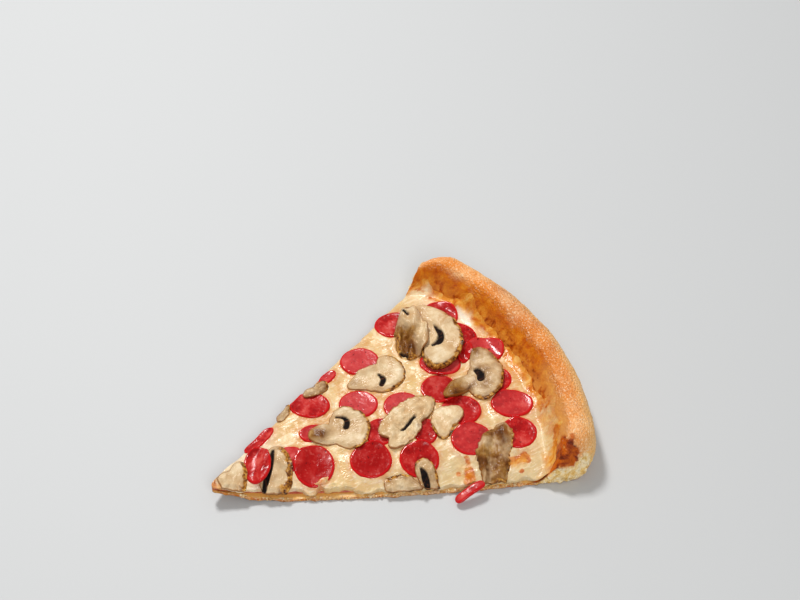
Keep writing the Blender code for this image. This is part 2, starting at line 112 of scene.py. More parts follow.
def sharesAt(x, y):
    # the u and t of a place on the slice, found by a few rounds of correction
    u = np.zeros_like(x)
    for _ in range(14):
        inner = 1.0 - u * u
        slope = (cutLength - plan["tipCut"]) * math.cos(half) + (crustBulge + plan["tipNose"]) * inner
        pulled = (y - plan["tipCut"] * math.cos(half) + plan["tipNose"] * inner) / slope
        along = plan["tipCut"] + (cutLength - plan["tipCut"]) * np.clip(pulled, 0.0, 1.2)
        u = np.clip((x - bowAt(u, pulled)) / (along * math.sin(half)), -1.3, 1.3)
    return u, pulled / (1.0 - plan["endPull"] * edgeShare(np.clip(u, -1, 1), plan["endStart"]) ** 2)


def fromCrust(t):
    return (1.0 - t) * (plan["length"] - plan["tipCut"])


def tipRise(t):
    return dough["tipLift"] * np.clip(1.0 - t / dough["tipReach"], 0.0, 1.0) ** 2


def edgeFalls(u, t):
    width = 2.0 * (plan["tipCut"] + (cutLength - plan["tipCut"]) * t) * math.sin(half)
    near = np.clip(1.0 - (1.0 - u) / 2 * width / dough["nearSlope"], 0.0, 1.0) ** 2
    far = np.clip(1.0 - (1.0 + u) / 2 * width / dough["farSlope"], 0.0, 1.0) ** 2
    return near, far


def baseTop(u, t):
    near, far = edgeFalls(u, t)
    drop = np.maximum((dough["base"] - dough["nearEdge"]) * near, (dough["base"] - dough["farEdge"]) * far)
    return dough["base"] - drop + tipRise(t)


def crustCrest(u):
    drop = np.where(u > 0, dough["dropNear"], dough["dropFar"])
    uneven = dough["uneven"] * (np.sin(5.3 * u + 0.6) + 0.7 * np.sin(11.0 * u))
    return dough["crustHeight"] * (1.0 - drop * edgeShare(u, plan["endStart"]) ** 2) + uneven


def doughTop(u, t):
    inward = fromCrust(t)
    base, crest = baseTop(u, t), crustCrest(u)
    outside = np.clip((dough["crest"] - inward) / dough["crest"], 0.0, 1.0)
    outer = dough["equator"] + (crest - dough["equator"]) * np.sqrt(1.0 - outside**2)
    slope = np.clip((inward - dough["crest"]) / (dough["crustWidth"] - dough["crest"]), 0.0, 1.0)
    return np.where(inward < dough["crest"], outer, base + (crest - base) * (0.5 + 0.5 * np.cos(math.pi * slope)))


def doughBottom(u, t):
    tuck = np.clip((dough["tuck"] - fromCrust(t)) / dough["tuck"], 0.0, 1.0)
    return dough["equator"] * (1.0 - np.sqrt(1.0 - tuck**2)) + tipRise(t) + 0.0 * u


def sauceBottom(u, t):
    return doughTop(u, t) + layers["gap"]


def sauceTop(u, t):
    return sauceBottom(u, t) + layers["sauce"]


def cheeseBottom(u, t):
    return sauceTop(u, t) + layers["gap"]


def cheeseTop(u, t):
    near, far = edgeFalls(u, t)
    loss = np.maximum((layers["cheese"] - layers["cheeseNear"]) * near, (layers["cheese"] - layers["cheeseFar"]) * far)
    onCrust = smooth((dough["crustWidth"] - fromCrust(t)) / (dough["crustWidth"] - layers["cheeseEnd"]))
    thickness = (layers["cheese"] - loss) * (1.0 - onCrust) + layers["cheeseOnCrust"] * onCrust
    x, y = placeAt(u, t)
    first, second, third = layers["waveLengths"]
    wave = np.sin(x / first + 0.7) * np.sin(y / second) + 0.6 * np.sin((x + y) / third)
    return cheeseBottom(u, t) + thickness + layers["wave"] * wave * (1.0 - onCrust) * (1.0 - near)


# small tools for meshes

def roughness(points, size, depth=3, seed=0.0):
    # fractal unevenness of about -1 to 1 at each point, with lumps of about that size in mm
    shift = Vector((seed * 17.3, seed * 5.1, seed * 9.7))
    flat = np.asarray(points).reshape(-1, 3) / size
    values = [noise.fractal(Vector(p) + shift, 1.0, 2.1, depth) for p in flat]
    return np.array(values).reshape(np.asarray(points).shape[:-1])


def pits(points, size, seed=0.0):
    # distance to the nearest of scattered pits, 0 at a pit and about 1 half way to the next
    shift = Vector((seed * 3.3, seed * 8.9, seed * 2.3))
    flat = np.asarray(points).reshape(-1, 3) / size
    values = [noise.voronoi(Vector(p) + shift)[0][0] for p in flat]
    return np.array(values).reshape(np.asarray(points).shape[:-1])


def spots(x, y, entries):
    # soft spots, each with its x, y and radius along x and y
    return sum(np.exp(-((x - entry[0]) / entry[2]) ** 2 - ((y - entry[1]) / entry[3]) ** 2) for entry in entries)


def addPiece(name, points, faces, material, nodes=(), masks=None):
    # points in mm on the slice; every piece stays inside the box of the solids
    points = np.clip(np.asarray(points).reshape(-1, 3) + originShift, boxLow, boxHigh) * mm
    mesh = bpy.data.meshes.new(name)
    mesh.from_pydata(points.tolist(), [], faces)
    for maskName, values in (masks or {}).items():
        kind, field = ("FLOAT_VECTOR", "vector") if maskName == "at" else ("FLOAT", "value")
        data = mesh.attributes.new(maskName, kind, "POINT").data
        data.foreach_set(field, np.asarray(values, np.float32).ravel())
    mesh.validate()
    mesh.shade_smooth()
    mesh.materials.append(material)
    piece = bpy.data.objects.new(name, mesh)
    bpy.context.scene.collection.objects.link(piece)
    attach(piece, "root")
    if nodes:
        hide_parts(*nodes)
    return piece


def loft(us, ts, bottom, top, sideSteps):
    # rings round the slice's cross-section, one for each t: under, up the near cut, over, down the far cut
    across, along = np.meshgrid(us, ts)
    x, y = placeAt(across, along)
    low, high = bottom(across, along), top(across, along)
    under = np.stack([x, y, low], axis=-1)
    over = np.stack([x, y, high], axis=-1)
    share = (np.arange(sideSteps) + 1) / (sideSteps + 1)
    near = under[:, -1:] * (1 - share[None, :, None]) + over[:, -1:] * share[None, :, None]
    far = over[:, :1] * (1 - share[None, :, None]) + under[:, :1] * share[None, :, None]
    rings = np.concatenate([under, near, over[:, ::-1], far], axis=1)
    ones = np.ones((1, sideSteps))
    uRing = np.concatenate([across, ones + 0 * near[..., 0], across[:, ::-1], -ones + 0 * near[..., 0]], axis=1)
    tRing = np.repeat(np.asarray(ts)[:, None], rings.shape[1], axis=1)
    wide = len(us)
    side = np.zeros(rings.shape[1])  # -1 underneath, 0 on a cut, 1 on top
    side[:wide] = -1
    side[wide + sideSteps:2 * wide + sideSteps] = 1
    return rings, uRing, tRing, np.repeat(side[None], len(ts), axis=0)


def cutColumns(wide, sideSteps):
    # where a ring's points on the near and the far cut are, and how far along each cut they lie
    second = 2 * wide + sideSteps
    shares = (np.arange(sideSteps) + 1) / (sideSteps + 1)
    return slice(wide, wide + sideSteps), slice(second, second + sideSteps), shares


def ringFaces(rows, count, wide, sideSteps, closeEnd):
    index = np.arange(rows * count).reshape(rows, count)
    after = np.roll(index, -1, axis=1)
    faces = np.stack([index[:-1], after[:-1], after[1:], index[1:]], axis=-1).reshape(-1, 4)[:, ::-1].tolist()
    for row in (0,) + ((rows - 1,) if closeEnd else ()):
        ring = index[row].tolist()
        topOf = [ring[2 * wide + sideSteps - 1 - i] for i in range(wide)]
        cap = [(ring[i], ring[i + 1], topOf[i + 1], topOf[i]) for i in range(wide - 1)]
        cap.append(tuple([ring[wide - 1]] + ring[wide:wide + sideSteps] + [topOf[-1]]))
        cap.append(tuple([topOf[0]] + ring[2 * wide + sideSteps:] + [ring[0]]))
        faces += cap if row == 0 else [face[::-1] for face in cap]
    return faces


def ringNormals(rings):
    around = np.roll(rings, -1, axis=1) - np.roll(rings, 1, axis=1)
    normals = np.cross(np.gradient(rings, axis=0), around)
    normals /= np.maximum(np.linalg.norm(normals, axis=-1, keepdims=True), 1e-9)
    return -normals


# small tools for materials

def colour(code):
    # an sRGB hex value as linear light
    parts = [int(code[i:i + 2], 16) / 255 for i in (1, 3, 5)]
    return tuple(c / 12.92 if c <= 0.04045 else ((c + 0.055) / 1.055) ** 2.4 for c in parts) + (1.0,)


def addNode(tree, kind, links=None, stops=(), **settings):
    made = tree.nodes.new(kind)
    for name, value in settings.items():
        setattr(made, name, value)
    for k, (place, code) in enumerate(stops):
        element = made.color_ramp.elements[k] if k < 2 else made.color_ramp.elements.new(place)
        element.position = place
        element.color = colour(code)
    for key, value in (links or {}).items():
        if isinstance(value, bpy.types.NodeSocket):
            tree.links.new(value, made.inputs[key])
        else:
            made.inputs[key].default_value = colour(value) if isinstance(value, str) else value
    return made


def startMaterial(name, look, ownPlace=False):
    # the masks that the pieces carry, the patterns (mm across, detail, roughness, distortion, share of the scale along
    # y), the bands (what they are read from, its start and end, value at start and end) and the colour ramps, all kept
    # under their names
    material = bpy.data.materials.new(name)
    material.use_nodes = True
    tree = material.node_tree
    if ownPlace:
        place = addNode(tree, "ShaderNodeAttribute", attribute_name="at").outputs["Vector"]
    else:
        place = addNode(tree, "ShaderNodeTexCoord").outputs["Object"]
    found = {mask: addNode(tree, "ShaderNodeAttribute", attribute_name=mask).outputs["Fac"] for mask in look["masks"]}
    for pattern, (size, detail, broken, distortion, stretch) in look["patterns"].items():
        at = place
        if stretch < 1.0:
            at = addNode(tree, "ShaderNodeMapping", {"Vector": place, "Scale": (1.0, stretch, 1.0)}).outputs[0]
        found[pattern] = addNode(tree, "ShaderNodeTexNoise", {
            "Vector": at, "Scale": 1 / (size * mm), "Detail": detail, "Roughness": broken,
            "Distortion": distortion}).outputs["Fac"]
    for band, (source, start, end, first, last) in look["bands"].items():
        found[band] = addNode(tree, "ShaderNodeMapRange", {
            0: found[source], 1: start, 2: end, 3: first, 4: last}).outputs[0]
    for ramp, (source, *stops) in look["ramps"].items():
        found[ramp] = addNode(tree, "ShaderNodeValToRGB", {0: found[source]}, stops=stops).outputs[0]
    found["place"] = place
    return material, tree, found


def finishMaterial(material, look, found, gloss, height):
    # the first layer is the base, and each later one covers what is below it as far as its mask says
    tree = material.node_tree
    shader = tree.nodes["Principled BSDF"]
    first, *layers = look["layers"]
    paint = found[first]
    for mask, over in layers:
        paint = addNode(tree, "ShaderNodeMix", {
            0: found[mask], 6: paint, 7: found.get(over, over)}, data_type="RGBA").outputs[2]
    tree.links.new(paint, shader.inputs["Base Color"])
    if gloss is not None:
        tree.links.new(gloss, shader.inputs["Roughness"])
    for socket, value in look["shader"].items():
        shader.inputs[socket].default_value = value
    strength, depth = look["bump"]
    bump = addNode(tree, "ShaderNodeBump", {"Height": height, "Strength": strength, "Distance": depth * mm})
    tree.links.new(bump.outputs[0], shader.inputs["Normal"])
    return material


# baked wheat dough: proved, stretched and oven baked, so the skin is matt, tan where it stands highest and finely
# pitted, oily and amber where cheese and sauce ran up to it, and its torn crumb is pale and open
def bakedDough():
    look = {
        "masks": ("inward", "torn", "under", "slope", "toast", "stain", "mellow"),
        "patterns": {
            "blotch": (16.0, 5.0, 0.6, 0.0, 1.0), "speck": (1.0, 3.0, 0.7, 0.0, 1.0), "oil": (5.5, 5.0, 0.6, 0.8, 1.0),
            "crumb": (2.6, 5.0, 0.65, 0.0, 1.0), "scorch": (9.0, 6.0, 0.65, 0.0, 1.0),
        },
        "bubble": 1.0,
        "bands": {
            # the pale speck band is painted glints, small light specks where the pitted skin would catch the light
            "floury": ("blotch", 0.44, 0.62, 0.0, 0.6), "pale": ("speck", 0.55, 0.63, 0.0, 0.7),
            "dark": ("speck", 0.44, 0.30, 0.0, 0.45), "lowOnSlope": ("inward", 0.68, 0.92, 0.0, 0.35),
            "mellowed": ("mellow", 0.0, 1.0, 0.0, 0.6), "gloss": ("slope", 0.0, 1.0, 0.55, 0.26),
            "evened": ("slope", 0.0, 1.0, 1.0, 0.25),  # oil fills the pores
        },
        "ramps": {
            "skin": ("inward", (0.0, "#FFC876"), (0.16, "#FFBA68"), (0.34, "#F29A4C"), (0.50, "#EA8C34"),
                     (0.64, "#DE7C1C")),
            "oiled": ("oil", (0.30, "#B44600"), (0.44, "#C65E04"), (0.58, "#D8780C"), (0.72, "#E8982C")),
            "stained": ("oil", (0.34, "#6A2202"), (0.44, "#9E3C04"), (0.56, "#C45C06")),
            # the crumb's tone varies, and the darker end of this ramp is painted shade in its holes
            "opened": ("crumb", (0.30, "#D09A44"), (0.44, "#F4CC80"), (0.58, "#FFEBC0")),
            "scorched": ("scorch", (0.32, "#5A2C0C"), (0.45, "#A8692C"), (0.56, "#D19A54"), (0.72, "#E6BE84")),
        },
        # the pale layer here paints those glints into the colour
        "layers": ("skin", ("floury", "#FFD096"), ("toast", "#B8560F"), ("pale", "#FFE0B8"), ("dark", "#B45A1E"),
                   ("slope", "oiled"), ("stain", "stained"), ("torn", "opened"), ("under", "scorched")),
        "shader": {"IOR": 1.45, "Specular IOR Level": 0.25}, "bump": (0.9, 0.6),
    }
    material, tree, found = startMaterial("bakedDough", look)
    for mask, over in (("lowOnSlope", "#E8B458"), ("mellowed", "#E4AE60")):
        found["oiled"] = addNode(tree, "ShaderNodeMix", {
            0: found[mask], 6: found["oiled"], 7: over}, data_type="RGBA").outputs[2]
    bubbles = addNode(tree, "ShaderNodeTexVoronoi", {
        "Vector": found["place"], "Scale": 1 / (look["bubble"] * mm)}).outputs["Distance"]
    height = addNode(tree, "ShaderNodeMath", {0: bubbles, 1: found["speck"]}, operation="ADD").outputs[0]
    height = addNode(tree, "ShaderNodeMath", {0: height, 1: found["evened"]}, operation="MULTIPLY").outputs[0]
    return finishMaterial(material, look, found, found["gloss"], height)


# melted mozzarella: stretched curd that has run together, smooth, a little oily and slightly see-through, so it
# shines in small spots and takes up the orange of the fat round the sausage
def meltedMozzarella():
    look = {
        "masks": ("oil", "milkyAndGlints", "stain", "toast", "pale"),
        "patterns": {
            "patch": (17.0, 4.0, 0.5, 0.5, 1.0), "curd": (6.0, 4.0, 0.6, 0.7, 1.0),
            "string": (1.3, 3.0, 0.5, 0.6, 0.18), "fleck": (2.4, 5.0, 0.7, 0.0, 1.0),
            "ripple": (2.4, 3.0, 0.5, 0.0, 1.0),
        },
        "bands": {
            "curdy": ("curd", 0.52, 0.64, 0.0, 0.40), "stringy": ("string", 0.56, 0.68, 0.0, 0.5),
            "oilBreak": ("curd", 0.36, 0.60, 1.0, 0.15), "fleckBand": ("fleck", 0.57, 0.63, 0.0, 1.0),
            "gloss": ("curd", 0.35, 0.65, 0.14, 0.38),
        },
        "ramps": {
            "base": ("patch", (0.30, "#D09C5E"), (0.42, "#D8AA6C"), (0.54, "#DDB578"), (0.68, "#E4C488")),
            "stained": ("curd", (0.36, "#A43C02"), (0.50, "#C45C08"), (0.64, "#DC8C34")),
            "toasted": ("curd", (0.32, "#C25A06"), (0.43, "#D47A16"), (0.54, "#E09834"), (0.68, "#ECB866")),
        },
        # the milky layer is white cheese in a few spots and painted glints in a ring round the pieces
        "layers": ("base", ("pale", "#D4BC8E"), ("curdy", "#F0D8A8"), ("stringy", "#F8E8C8"), ("oily", "#D27440"),
                   ("milkyAndGlints", "#FBF1D8"), ("shown", "stained"), ("flecked", "#862A04"), ("toast", "toasted")),
        "shader": {"IOR": 1.45, "Subsurface Weight": 0.15, "Subsurface Radius": (1.0, 0.65, 0.35),
                   "Subsurface Scale": 1.2 * mm},
        "bump": (0.5, 0.6),
    }
    material, tree, found = startMaterial("meltedMozzarella", look)
    for name, one, other, operation in (
            ("oily", "oil", "oilBreak", "MULTIPLY"), ("broken", "stain", "fleck", "ADD"),
            ("waves", "ripple", "string", "ADD")):
        found[name] = addNode(tree, "ShaderNodeMath", {0: found[one], 1: found[other]}, operation=operation).outputs[0]
    found["shown"] = addNode(tree, "ShaderNodeMapRange", {
        0: found["broken"], 1: 1.05, 2: 1.35, 3: 0.0, 4: 0.85}).outputs[0]
    found["flecked"] = addNode(
        tree, "ShaderNodeMath", {0: found["shown"], 1: found["fleckBand"]}, operation="MULTIPLY").outputs[0]
    return finishMaterial(material, look, found, found["gloss"], found["waves"])


# fine-ground scalded sausage: an even red paste with small paler grains, moist and glossy, its rim fried brighter
def scaldedSausage():
    look = {
        "masks": ("inset", "paintedSheen", "paintedShade"),
        "patterns": {"cloud": (6.5, 5.0, 0.6, 0.0, 1.0), "grain": (1.7, 2.0, 0.5, 0.0, 1.0)},
        "bands": {
            "grainy": ("grain", 0.58, 0.70, 0.0, 0.35), "fried": ("grain", 0.33, 0.29, 0.0, 0.75),
            "rim": ("inset", 0.7, 1.3, 0.9, 0.0), "wet": ("cloud", 0.35, 0.65, 0.12, 0.26),
        },
        "ramps": {"face": ("cloud", (0.32, "#8A080A"), (0.46, "#AC0F10"), (0.56, "#BE2420"), (0.70, "#D45248"))},
        # the pinker and the deeper red layers, set round by round, are painted sheen and painted shade
        "layers": ("face", ("paintedSheen", "#CF4B4C"), ("paintedShade", "#A00806"), ("grainy", "#DA6258"), ("fried", "#4E0406"),
                   ("rim", "#C80F12")),
        "rimRoughness": 0.10, "shader": {"IOR": 1.42, "Specular IOR Level": 0.32}, "bump": (0.28, 0.5),
    }
    material, tree, found = startMaterial("scaldedSausage", look, True)
    gloss = addNode(tree, "ShaderNodeMix", {
        0: found["rim"], 2: found["wet"], 3: look["rimRoughness"]}, data_type="FLOAT").outputs[0]
    height = addNode(tree, "ShaderNodeMath", {0: found["cloud"], 1: found["grain"]}, operation="ADD").outputs[0]
    return finishMaterial(material, look, found, gloss, height)


# baked champignon: sliced lengthwise, so the flesh shows fibres that run from stem to cap, a tanned skin along the
# cap's edge and near-black gills
def bakedChampignon():
    look = {
        "masks": ("inset", "skin", "gill", "brown"),
        "patterns": {
            "fibre": (1.5, 3.0, 0.5, 0.3, 0.14), "cloud": (9.0, 5.0, 0.6, 0.0, 1.0),
            "speckle": (1.9, 4.0, 0.65, 0.0, 1.0),
            "rib": (0.8, 1.0, 0.5, 0.0, 0.14),  # ribs are really 0.3 mm apart, too fine to show
        },
        "bands": {
            "fibrous": ("fibre", 0.52, 0.68, 0.0, 0.32), "edge": ("inset", 0.35, 0.75, 0.8, 0.0),
            "dotted": ("speckle", 0.31, 0.27, 0.0, 0.8), "wet": ("cloud", 0.35, 0.65, 0.10, 0.34),
        },
        "ramps": {
            "flesh": ("cloud", (0.30, "#CCA270"), (0.45, "#DAB98C"), (0.58, "#E4CAA0"), (0.74, "#EFDDBE")),
            "browned": ("cloud", (0.32, "#482408"), (0.44, "#744418"), (0.56, "#98692E"), (0.72, "#BE9455")),
            "tanned": ("speckle", (0.35, "#2A1204"), (0.44, "#7A4512"), (0.54, "#B4782A"), (0.70, "#E2B45E")),
            "gills": ("rib", (0.40, "#070302"), (0.56, "#1C0B05"), (0.72, "#4A2510")),
        },
        "layers": ("flesh", ("fibrous", "#C49A64"), ("brown", "browned"), ("edge", "#95591E"), ("dotted", "#4A2A10"),
                   ("skin", "tanned"), ("gill", "gills")),
        "shader": {"IOR": 1.42, "Specular IOR Level": 0.4}, "bump": (0.8, 0.5),
    }
    material, tree, found = startMaterial("bakedChampignon", look, True)
    gloss = addNode(tree, "ShaderNodeMath", {0: found["wet"], 1: found["gill"]}, operation="MAXIMUM").outputs[0]
    height = addNode(tree, "ShaderNodeMath", {0: found["fibre"], 1: found["speckle"]}, operation="ADD").outputs[0]
    return finishMaterial(material, look, found, gloss, height)


# cooked tomato sauce: a thick pulp, orange red and moist
def cookedTomato():
    look = {
        "masks": (), "patterns": {"pulp": (3.8, 4.0, 0.5, 0.0, 1.0)}, "bands": {},
        "ramps": {"red": ("pulp", (0.32, "#8E2408"), (0.48, "#B8421A"), (0.64, "#CF6A30"))},
        "layers": ("red",), "shader": {"Roughness": 0.35}, "bump": (0.4, 0.5),
    }
    material, _, found = startMaterial("cookedTomato", look)
    return finishMaterial(material, look, found, None, found["pulp"])


crustLook, cheeseLook, sausageLook = bakedDough(), meltedMozzarella(), scaldedSausage()
mushroomLook, sauceLook = bakedChampignon(), cookedTomato()
print("materials made")

# where everything lies, as heights on a grid of places, all in mm
cell = 0.5
offSlice, farOff = -50.0, 99.0  # stand for no height and for a distance that nothing reaches
gridX = np.arange(-76.0, 80.0, cell)
gridY = np.arange(-2.0, 197.0, cell)
placesX, placesY = np.meshgrid(gridX, gridY)
gridU, gridT = sharesAt(placesX, placesY)
onSlice = (np.abs(gridU) <= 1.0) & (gridT >= 0.0) & (gridT <= 1.0)
clippedU, clippedT = np.clip(gridU, -1, 1), np.clip(gridT, 0, 1)
cheeseGrid = np.where(onSlice, cheeseTop(clippedU, clippedT), offSlice)
pile = cheeseGrid.copy()
covered = np.zeros(pile.shape, bool)
nearSausage = np.full(pile.shape, farOff)  # distance from the nearest round's rim
nearPiece = np.full(pile.shape, farOff)
climbed = np.zeros(pile.shape)
ceiling = np.full(pile.shape, farOff)  # how high cheese may reach under a piece
bedding = {
    "passes": 14, "step": 1.0, "hidden": 3.0,
    "climb": 1.5, "climbReach": 1.7, "belowRim": 0.45, "rim": 0.9, "under": 0.3, "underRim": 0.7,
}


def sample(grid, x, y):
    # the grid's value between its cells
    column = np.clip((x - gridX[0]) / cell, 0, len(gridX) - 1.001)
    row = np.clip((y - gridY[0]) / cell, 0, len(gridY) - 1.001)
    i, j = column.astype(int), row.astype(int)
    a, b = column - i, row - j
    return ((1 - b) * ((1 - a) * grid[j, i] + a * grid[j, i + 1])
            + b * ((1 - a) * grid[j + 1, i] + a * grid[j + 1, i + 1]))


def blurred(grid, mask, rounds=1):
    # each cell drawn to the mean of its neighbours that count
    weight = mask.astype(float)
    for _ in range(rounds):
        total = np.pad(grid * weight, 1)
        count = np.pad(weight, 1)
        summed = total[:-2, 1:-1] + total[2:, 1:-1] + total[1:-1, :-2] + total[1:-1, 2:] + total[1:-1, 1:-1]
        counted = count[:-2, 1:-1] + count[2:, 1:-1] + count[1:-1, :-2] + count[1:-1, 2:] + count[1:-1, 1:-1]
        grid = np.where(counted > 0, summed / np.maximum(counted, 1e-9), grid)
    return grid


def insideCuts(x, y, past):
    # whether a place lies between the cuts, or past them by no more than that
    share = min(max((y / math.cos(half) - plan["tipCut"]) / (cutLength - plan["tipCut"]), 0.0), 1.0)
    swell = math.sin(math.pi * share ** plan["bowSkew"])
    near = y * math.sin(half) - x * math.cos(half) + plan["nearBow"] * swell
    far = y * math.sin(half) + x * math.cos(half) + plan["farBow"] * swell
    return near > -past and far > -past and y > plan["tipCut"] - past


def trimmed(x, y, angle, reach, past):
    # the reach in one direction, ended where the slice was cut
    if insideCuts(x + reach * math.cos(angle), y + reach * math.sin(angle), past):
        return reach
    low, high = 0.0, reach
    for _ in range(12):
        middle = (low + high) / 2
        if insideCuts(x + middle * math.cos(angle), y + middle * math.sin(angle), past):
            low = middle
        else:
            high = middle
    return low


def ovalsReach(ovals):
    # distance from the centre to the joined outline of ovals that all hold it: x, y, length, width, turn in degrees
    def reach(angle):
        farthest = 0.0
        for x, y, length, width, turn in ovals:
            turned = math.radians(turn)
            acrossX, acrossY = math.cos(angle - turned) / (length / 2), math.sin(angle - turned) / (width / 2)
            fromX = (x * math.cos(turned) + y * math.sin(turned)) / (length / 2)
            fromY = (y * math.cos(turned) - x * math.sin(turned)) / (width / 2)
            a = acrossX**2 + acrossY**2
            b = acrossX * fromX + acrossY * fromY
            c = fromX**2 + fromY**2 - 1.0
            farthest = max(farthest, (b + math.sqrt(b * b - a * c)) / a)
        return farthest
    return reach


def outlineOf(x, y, reach, past, seed, wobble, ragged=0.12):
    # reach of a piece in 180 directions, a little irregular and trimmed where the slice was cut
    angles = np.linspace(0, 2 * math.pi, 181)[:-1]
    found = np.array([trimmed(x, y, a, reach(a), past) for a in angles])
    ripple = sum(np.sin(k * angles + seed * (1.7 + k)) / k for k in (2, 3, 5, 7))
    found = found * (1.0 + wobble * ripple * (found > 2.0))
    found = (np.roll(found, 1) + 2 * found + np.roll(found, -1)) / 4
    rimPlaces = np.column_stack([found * np.cos(angles), found * np.sin(angles), 0 * angles])
    return found + ragged * roughness(rimPlaces, 2.2, 3, seed) * (found > 2.0)


def reachAt(outline, angle):
    return np.interp(np.mod(angle, 2 * math.pi), np.linspace(0, 2 * math.pi, 181), np.append(outline, outline[0]))


def drape(x, y, outline, stiffness, sink, gap):
    # heights of a piece's underside over what lies below: sunk a little into cheese, clear of other pieces
    reachMost = outline.max() + 5.0
    rows = slice(*np.searchsorted(gridY, (y - reachMost, y + reachMost)))
    columns = slice(*np.searchsorted(gridX, (x - reachMost, x + reachMost)))
    dx, dy = placesX[rows, columns] - x, placesY[rows, columns] - y
    inset = reachAt(outline, np.arctan2(dy, dx)) - np.hypot(dx, dy)
    below = np.where(covered[rows, columns], pile[rows, columns] + gap, cheeseGrid[rows, columns] - sink)
    known = pile[rows, columns] > 0
    inside = inset > -2 * cell
    use = inside & known & (inset > 0)
    design = np.column_stack([dx[use], dy[use], np.ones(use.sum())])
    fit = np.linalg.lstsq(design, below[use], rcond=None)[0]
    plane = dx * fit[0] + dy * fit[1] + fit[2]
    below = np.where(known, below, plane - bedding["hidden"])
    height = stiffness * plane + (1 - stiffness) * np.minimum(below, plane + bedding["step"])
    height = np.where(known, height, plane)
    for _ in range(bedding["passes"]):
        height = blurred(height, inside, 3)
        height = np.where(inside, np.maximum(height, below), height)
    height = blurred(height, inside, 2)
    return rows, columns, inset, height


def piecePoints(x, y, outline, turn, rows, columns, height, profile, seed, relief):
    # a closed plate: rings from the middle of the top out over the rim and back under
    count = profile["sides"]
    angles = 2 * math.pi * np.arange(count) / count
    reach = reachAt(outline, angles)
    field = np.full(pile.shape, height.mean())
    field[rows, columns] = height
    thick, roll = profile["thickness"], profile["roll"]
    rings = [(share, 0.0, thick) for share in np.linspace(0.0, 1.0, profile["rings"])[1:-1]]
    phis = np.linspace(0.0, math.pi / 2, 4)
    rings += [(1.0, roll * (1 - math.sin(p)), thick - roll * (1 - math.cos(p))) for p in phis]
    rings += [(1.0, 0.15, thick * 0.35), (1.0, 0.5, 0.0), (0.6, 0.5, 0.0), (0.25, 0.3, 0.0)]
    points, insets, tops = [], [], []
    for share, inset, lift in rings:
        radius = np.maximum(reach - roll if share < 1 else reach - inset, 0.05) * share
        px, py = x + radius * np.cos(angles), y + radius * np.sin(angles)
        points.append(np.column_stack([px, py, sample(field, px, py) + lift]))
        insets.append(reach - radius)
        tops.append(np.full(count, 1.0 if lift > 0.5 * thick else 0.0))
    middle = np.array([[x, y, float(sample(field, np.array([x]), np.array([y]))[0])]])
    points = np.concatenate([middle + (0, 0, thick)] + points + [middle])
    insets = np.concatenate([[reach.mean()]] + insets + [[reach.mean()]])
    tops = np.concatenate([[1.0]] + tops + [[0.0]])
    ringCount = len(rings)
    faces = [(0, 1 + k, 1 + (k + 1) % count) for k in range(count)]
    for ring in range(ringCount - 1):
        inner, outer = 1 + ring * count, 1 + (ring + 1) * count
        faces += [(inner + k, outer + k, outer + (k + 1) % count, inner + (k + 1) % count) for k in range(count)]
    last, final = 1 + (ringCount - 1) * count, 1 + ringCount * count
    faces += [(last + k, final, last + (k + 1) % count) for k in range(count)]
    dx, dy = points[:, 0] - x, points[:, 1] - y
    local = np.column_stack([
        dx * math.sin(turn) - dy * math.cos(turn), dx * math.cos(turn) + dy * math.sin(turn), points[:, 2] * 0])
    points[:, 2] += relief(points, local, insets, tops)
    at = (local + np.array([seed * 31.0, seed * 13.0, 0.0])) * mm
    at[:, 2] = points[:, 2] * mm
    return points, faces, insets, tops, at


def settle(rows, columns, inset, height, thickness, rimTop, sausage):
    # writes a laid piece into the pile, with the cheese that was drawn up its rim
    here = (rows, columns)
    window, away = inset > 0, np.maximum(-inset, 0.0)
    rise = np.clip(height + rimTop - bedding["belowRim"] - cheeseGrid[here], 0.0, bedding["climb"])
    drawn = np.where(cheeseGrid[here] > 0, rise * np.exp(-(away / bedding["climbReach"]) ** 1.3), 0.0)
    climbed[here] = np.maximum(climbed[here], drawn)
    nearPiece[here] = np.minimum(nearPiece[here], away)
    atRim = np.where(window, height + rimTop - bedding["underRim"], farOff)
    under = np.where(inset > bedding["rim"], height + bedding["under"], atRim)
    ceiling[here] = np.minimum(ceiling[here], under)
    top = height + thickness * (0.4 + 0.6 * np.sqrt(1 - (1 - held(inset / bedding["rim"])) ** 2))
    pile[here] = np.where(window, np.maximum(pile[here], top), pile[here])
    covered[here] |= window
    if sausage:
        nearSausage[here] = np.where(window, 0.0, np.minimum(nearSausage[here], away + 0.01))


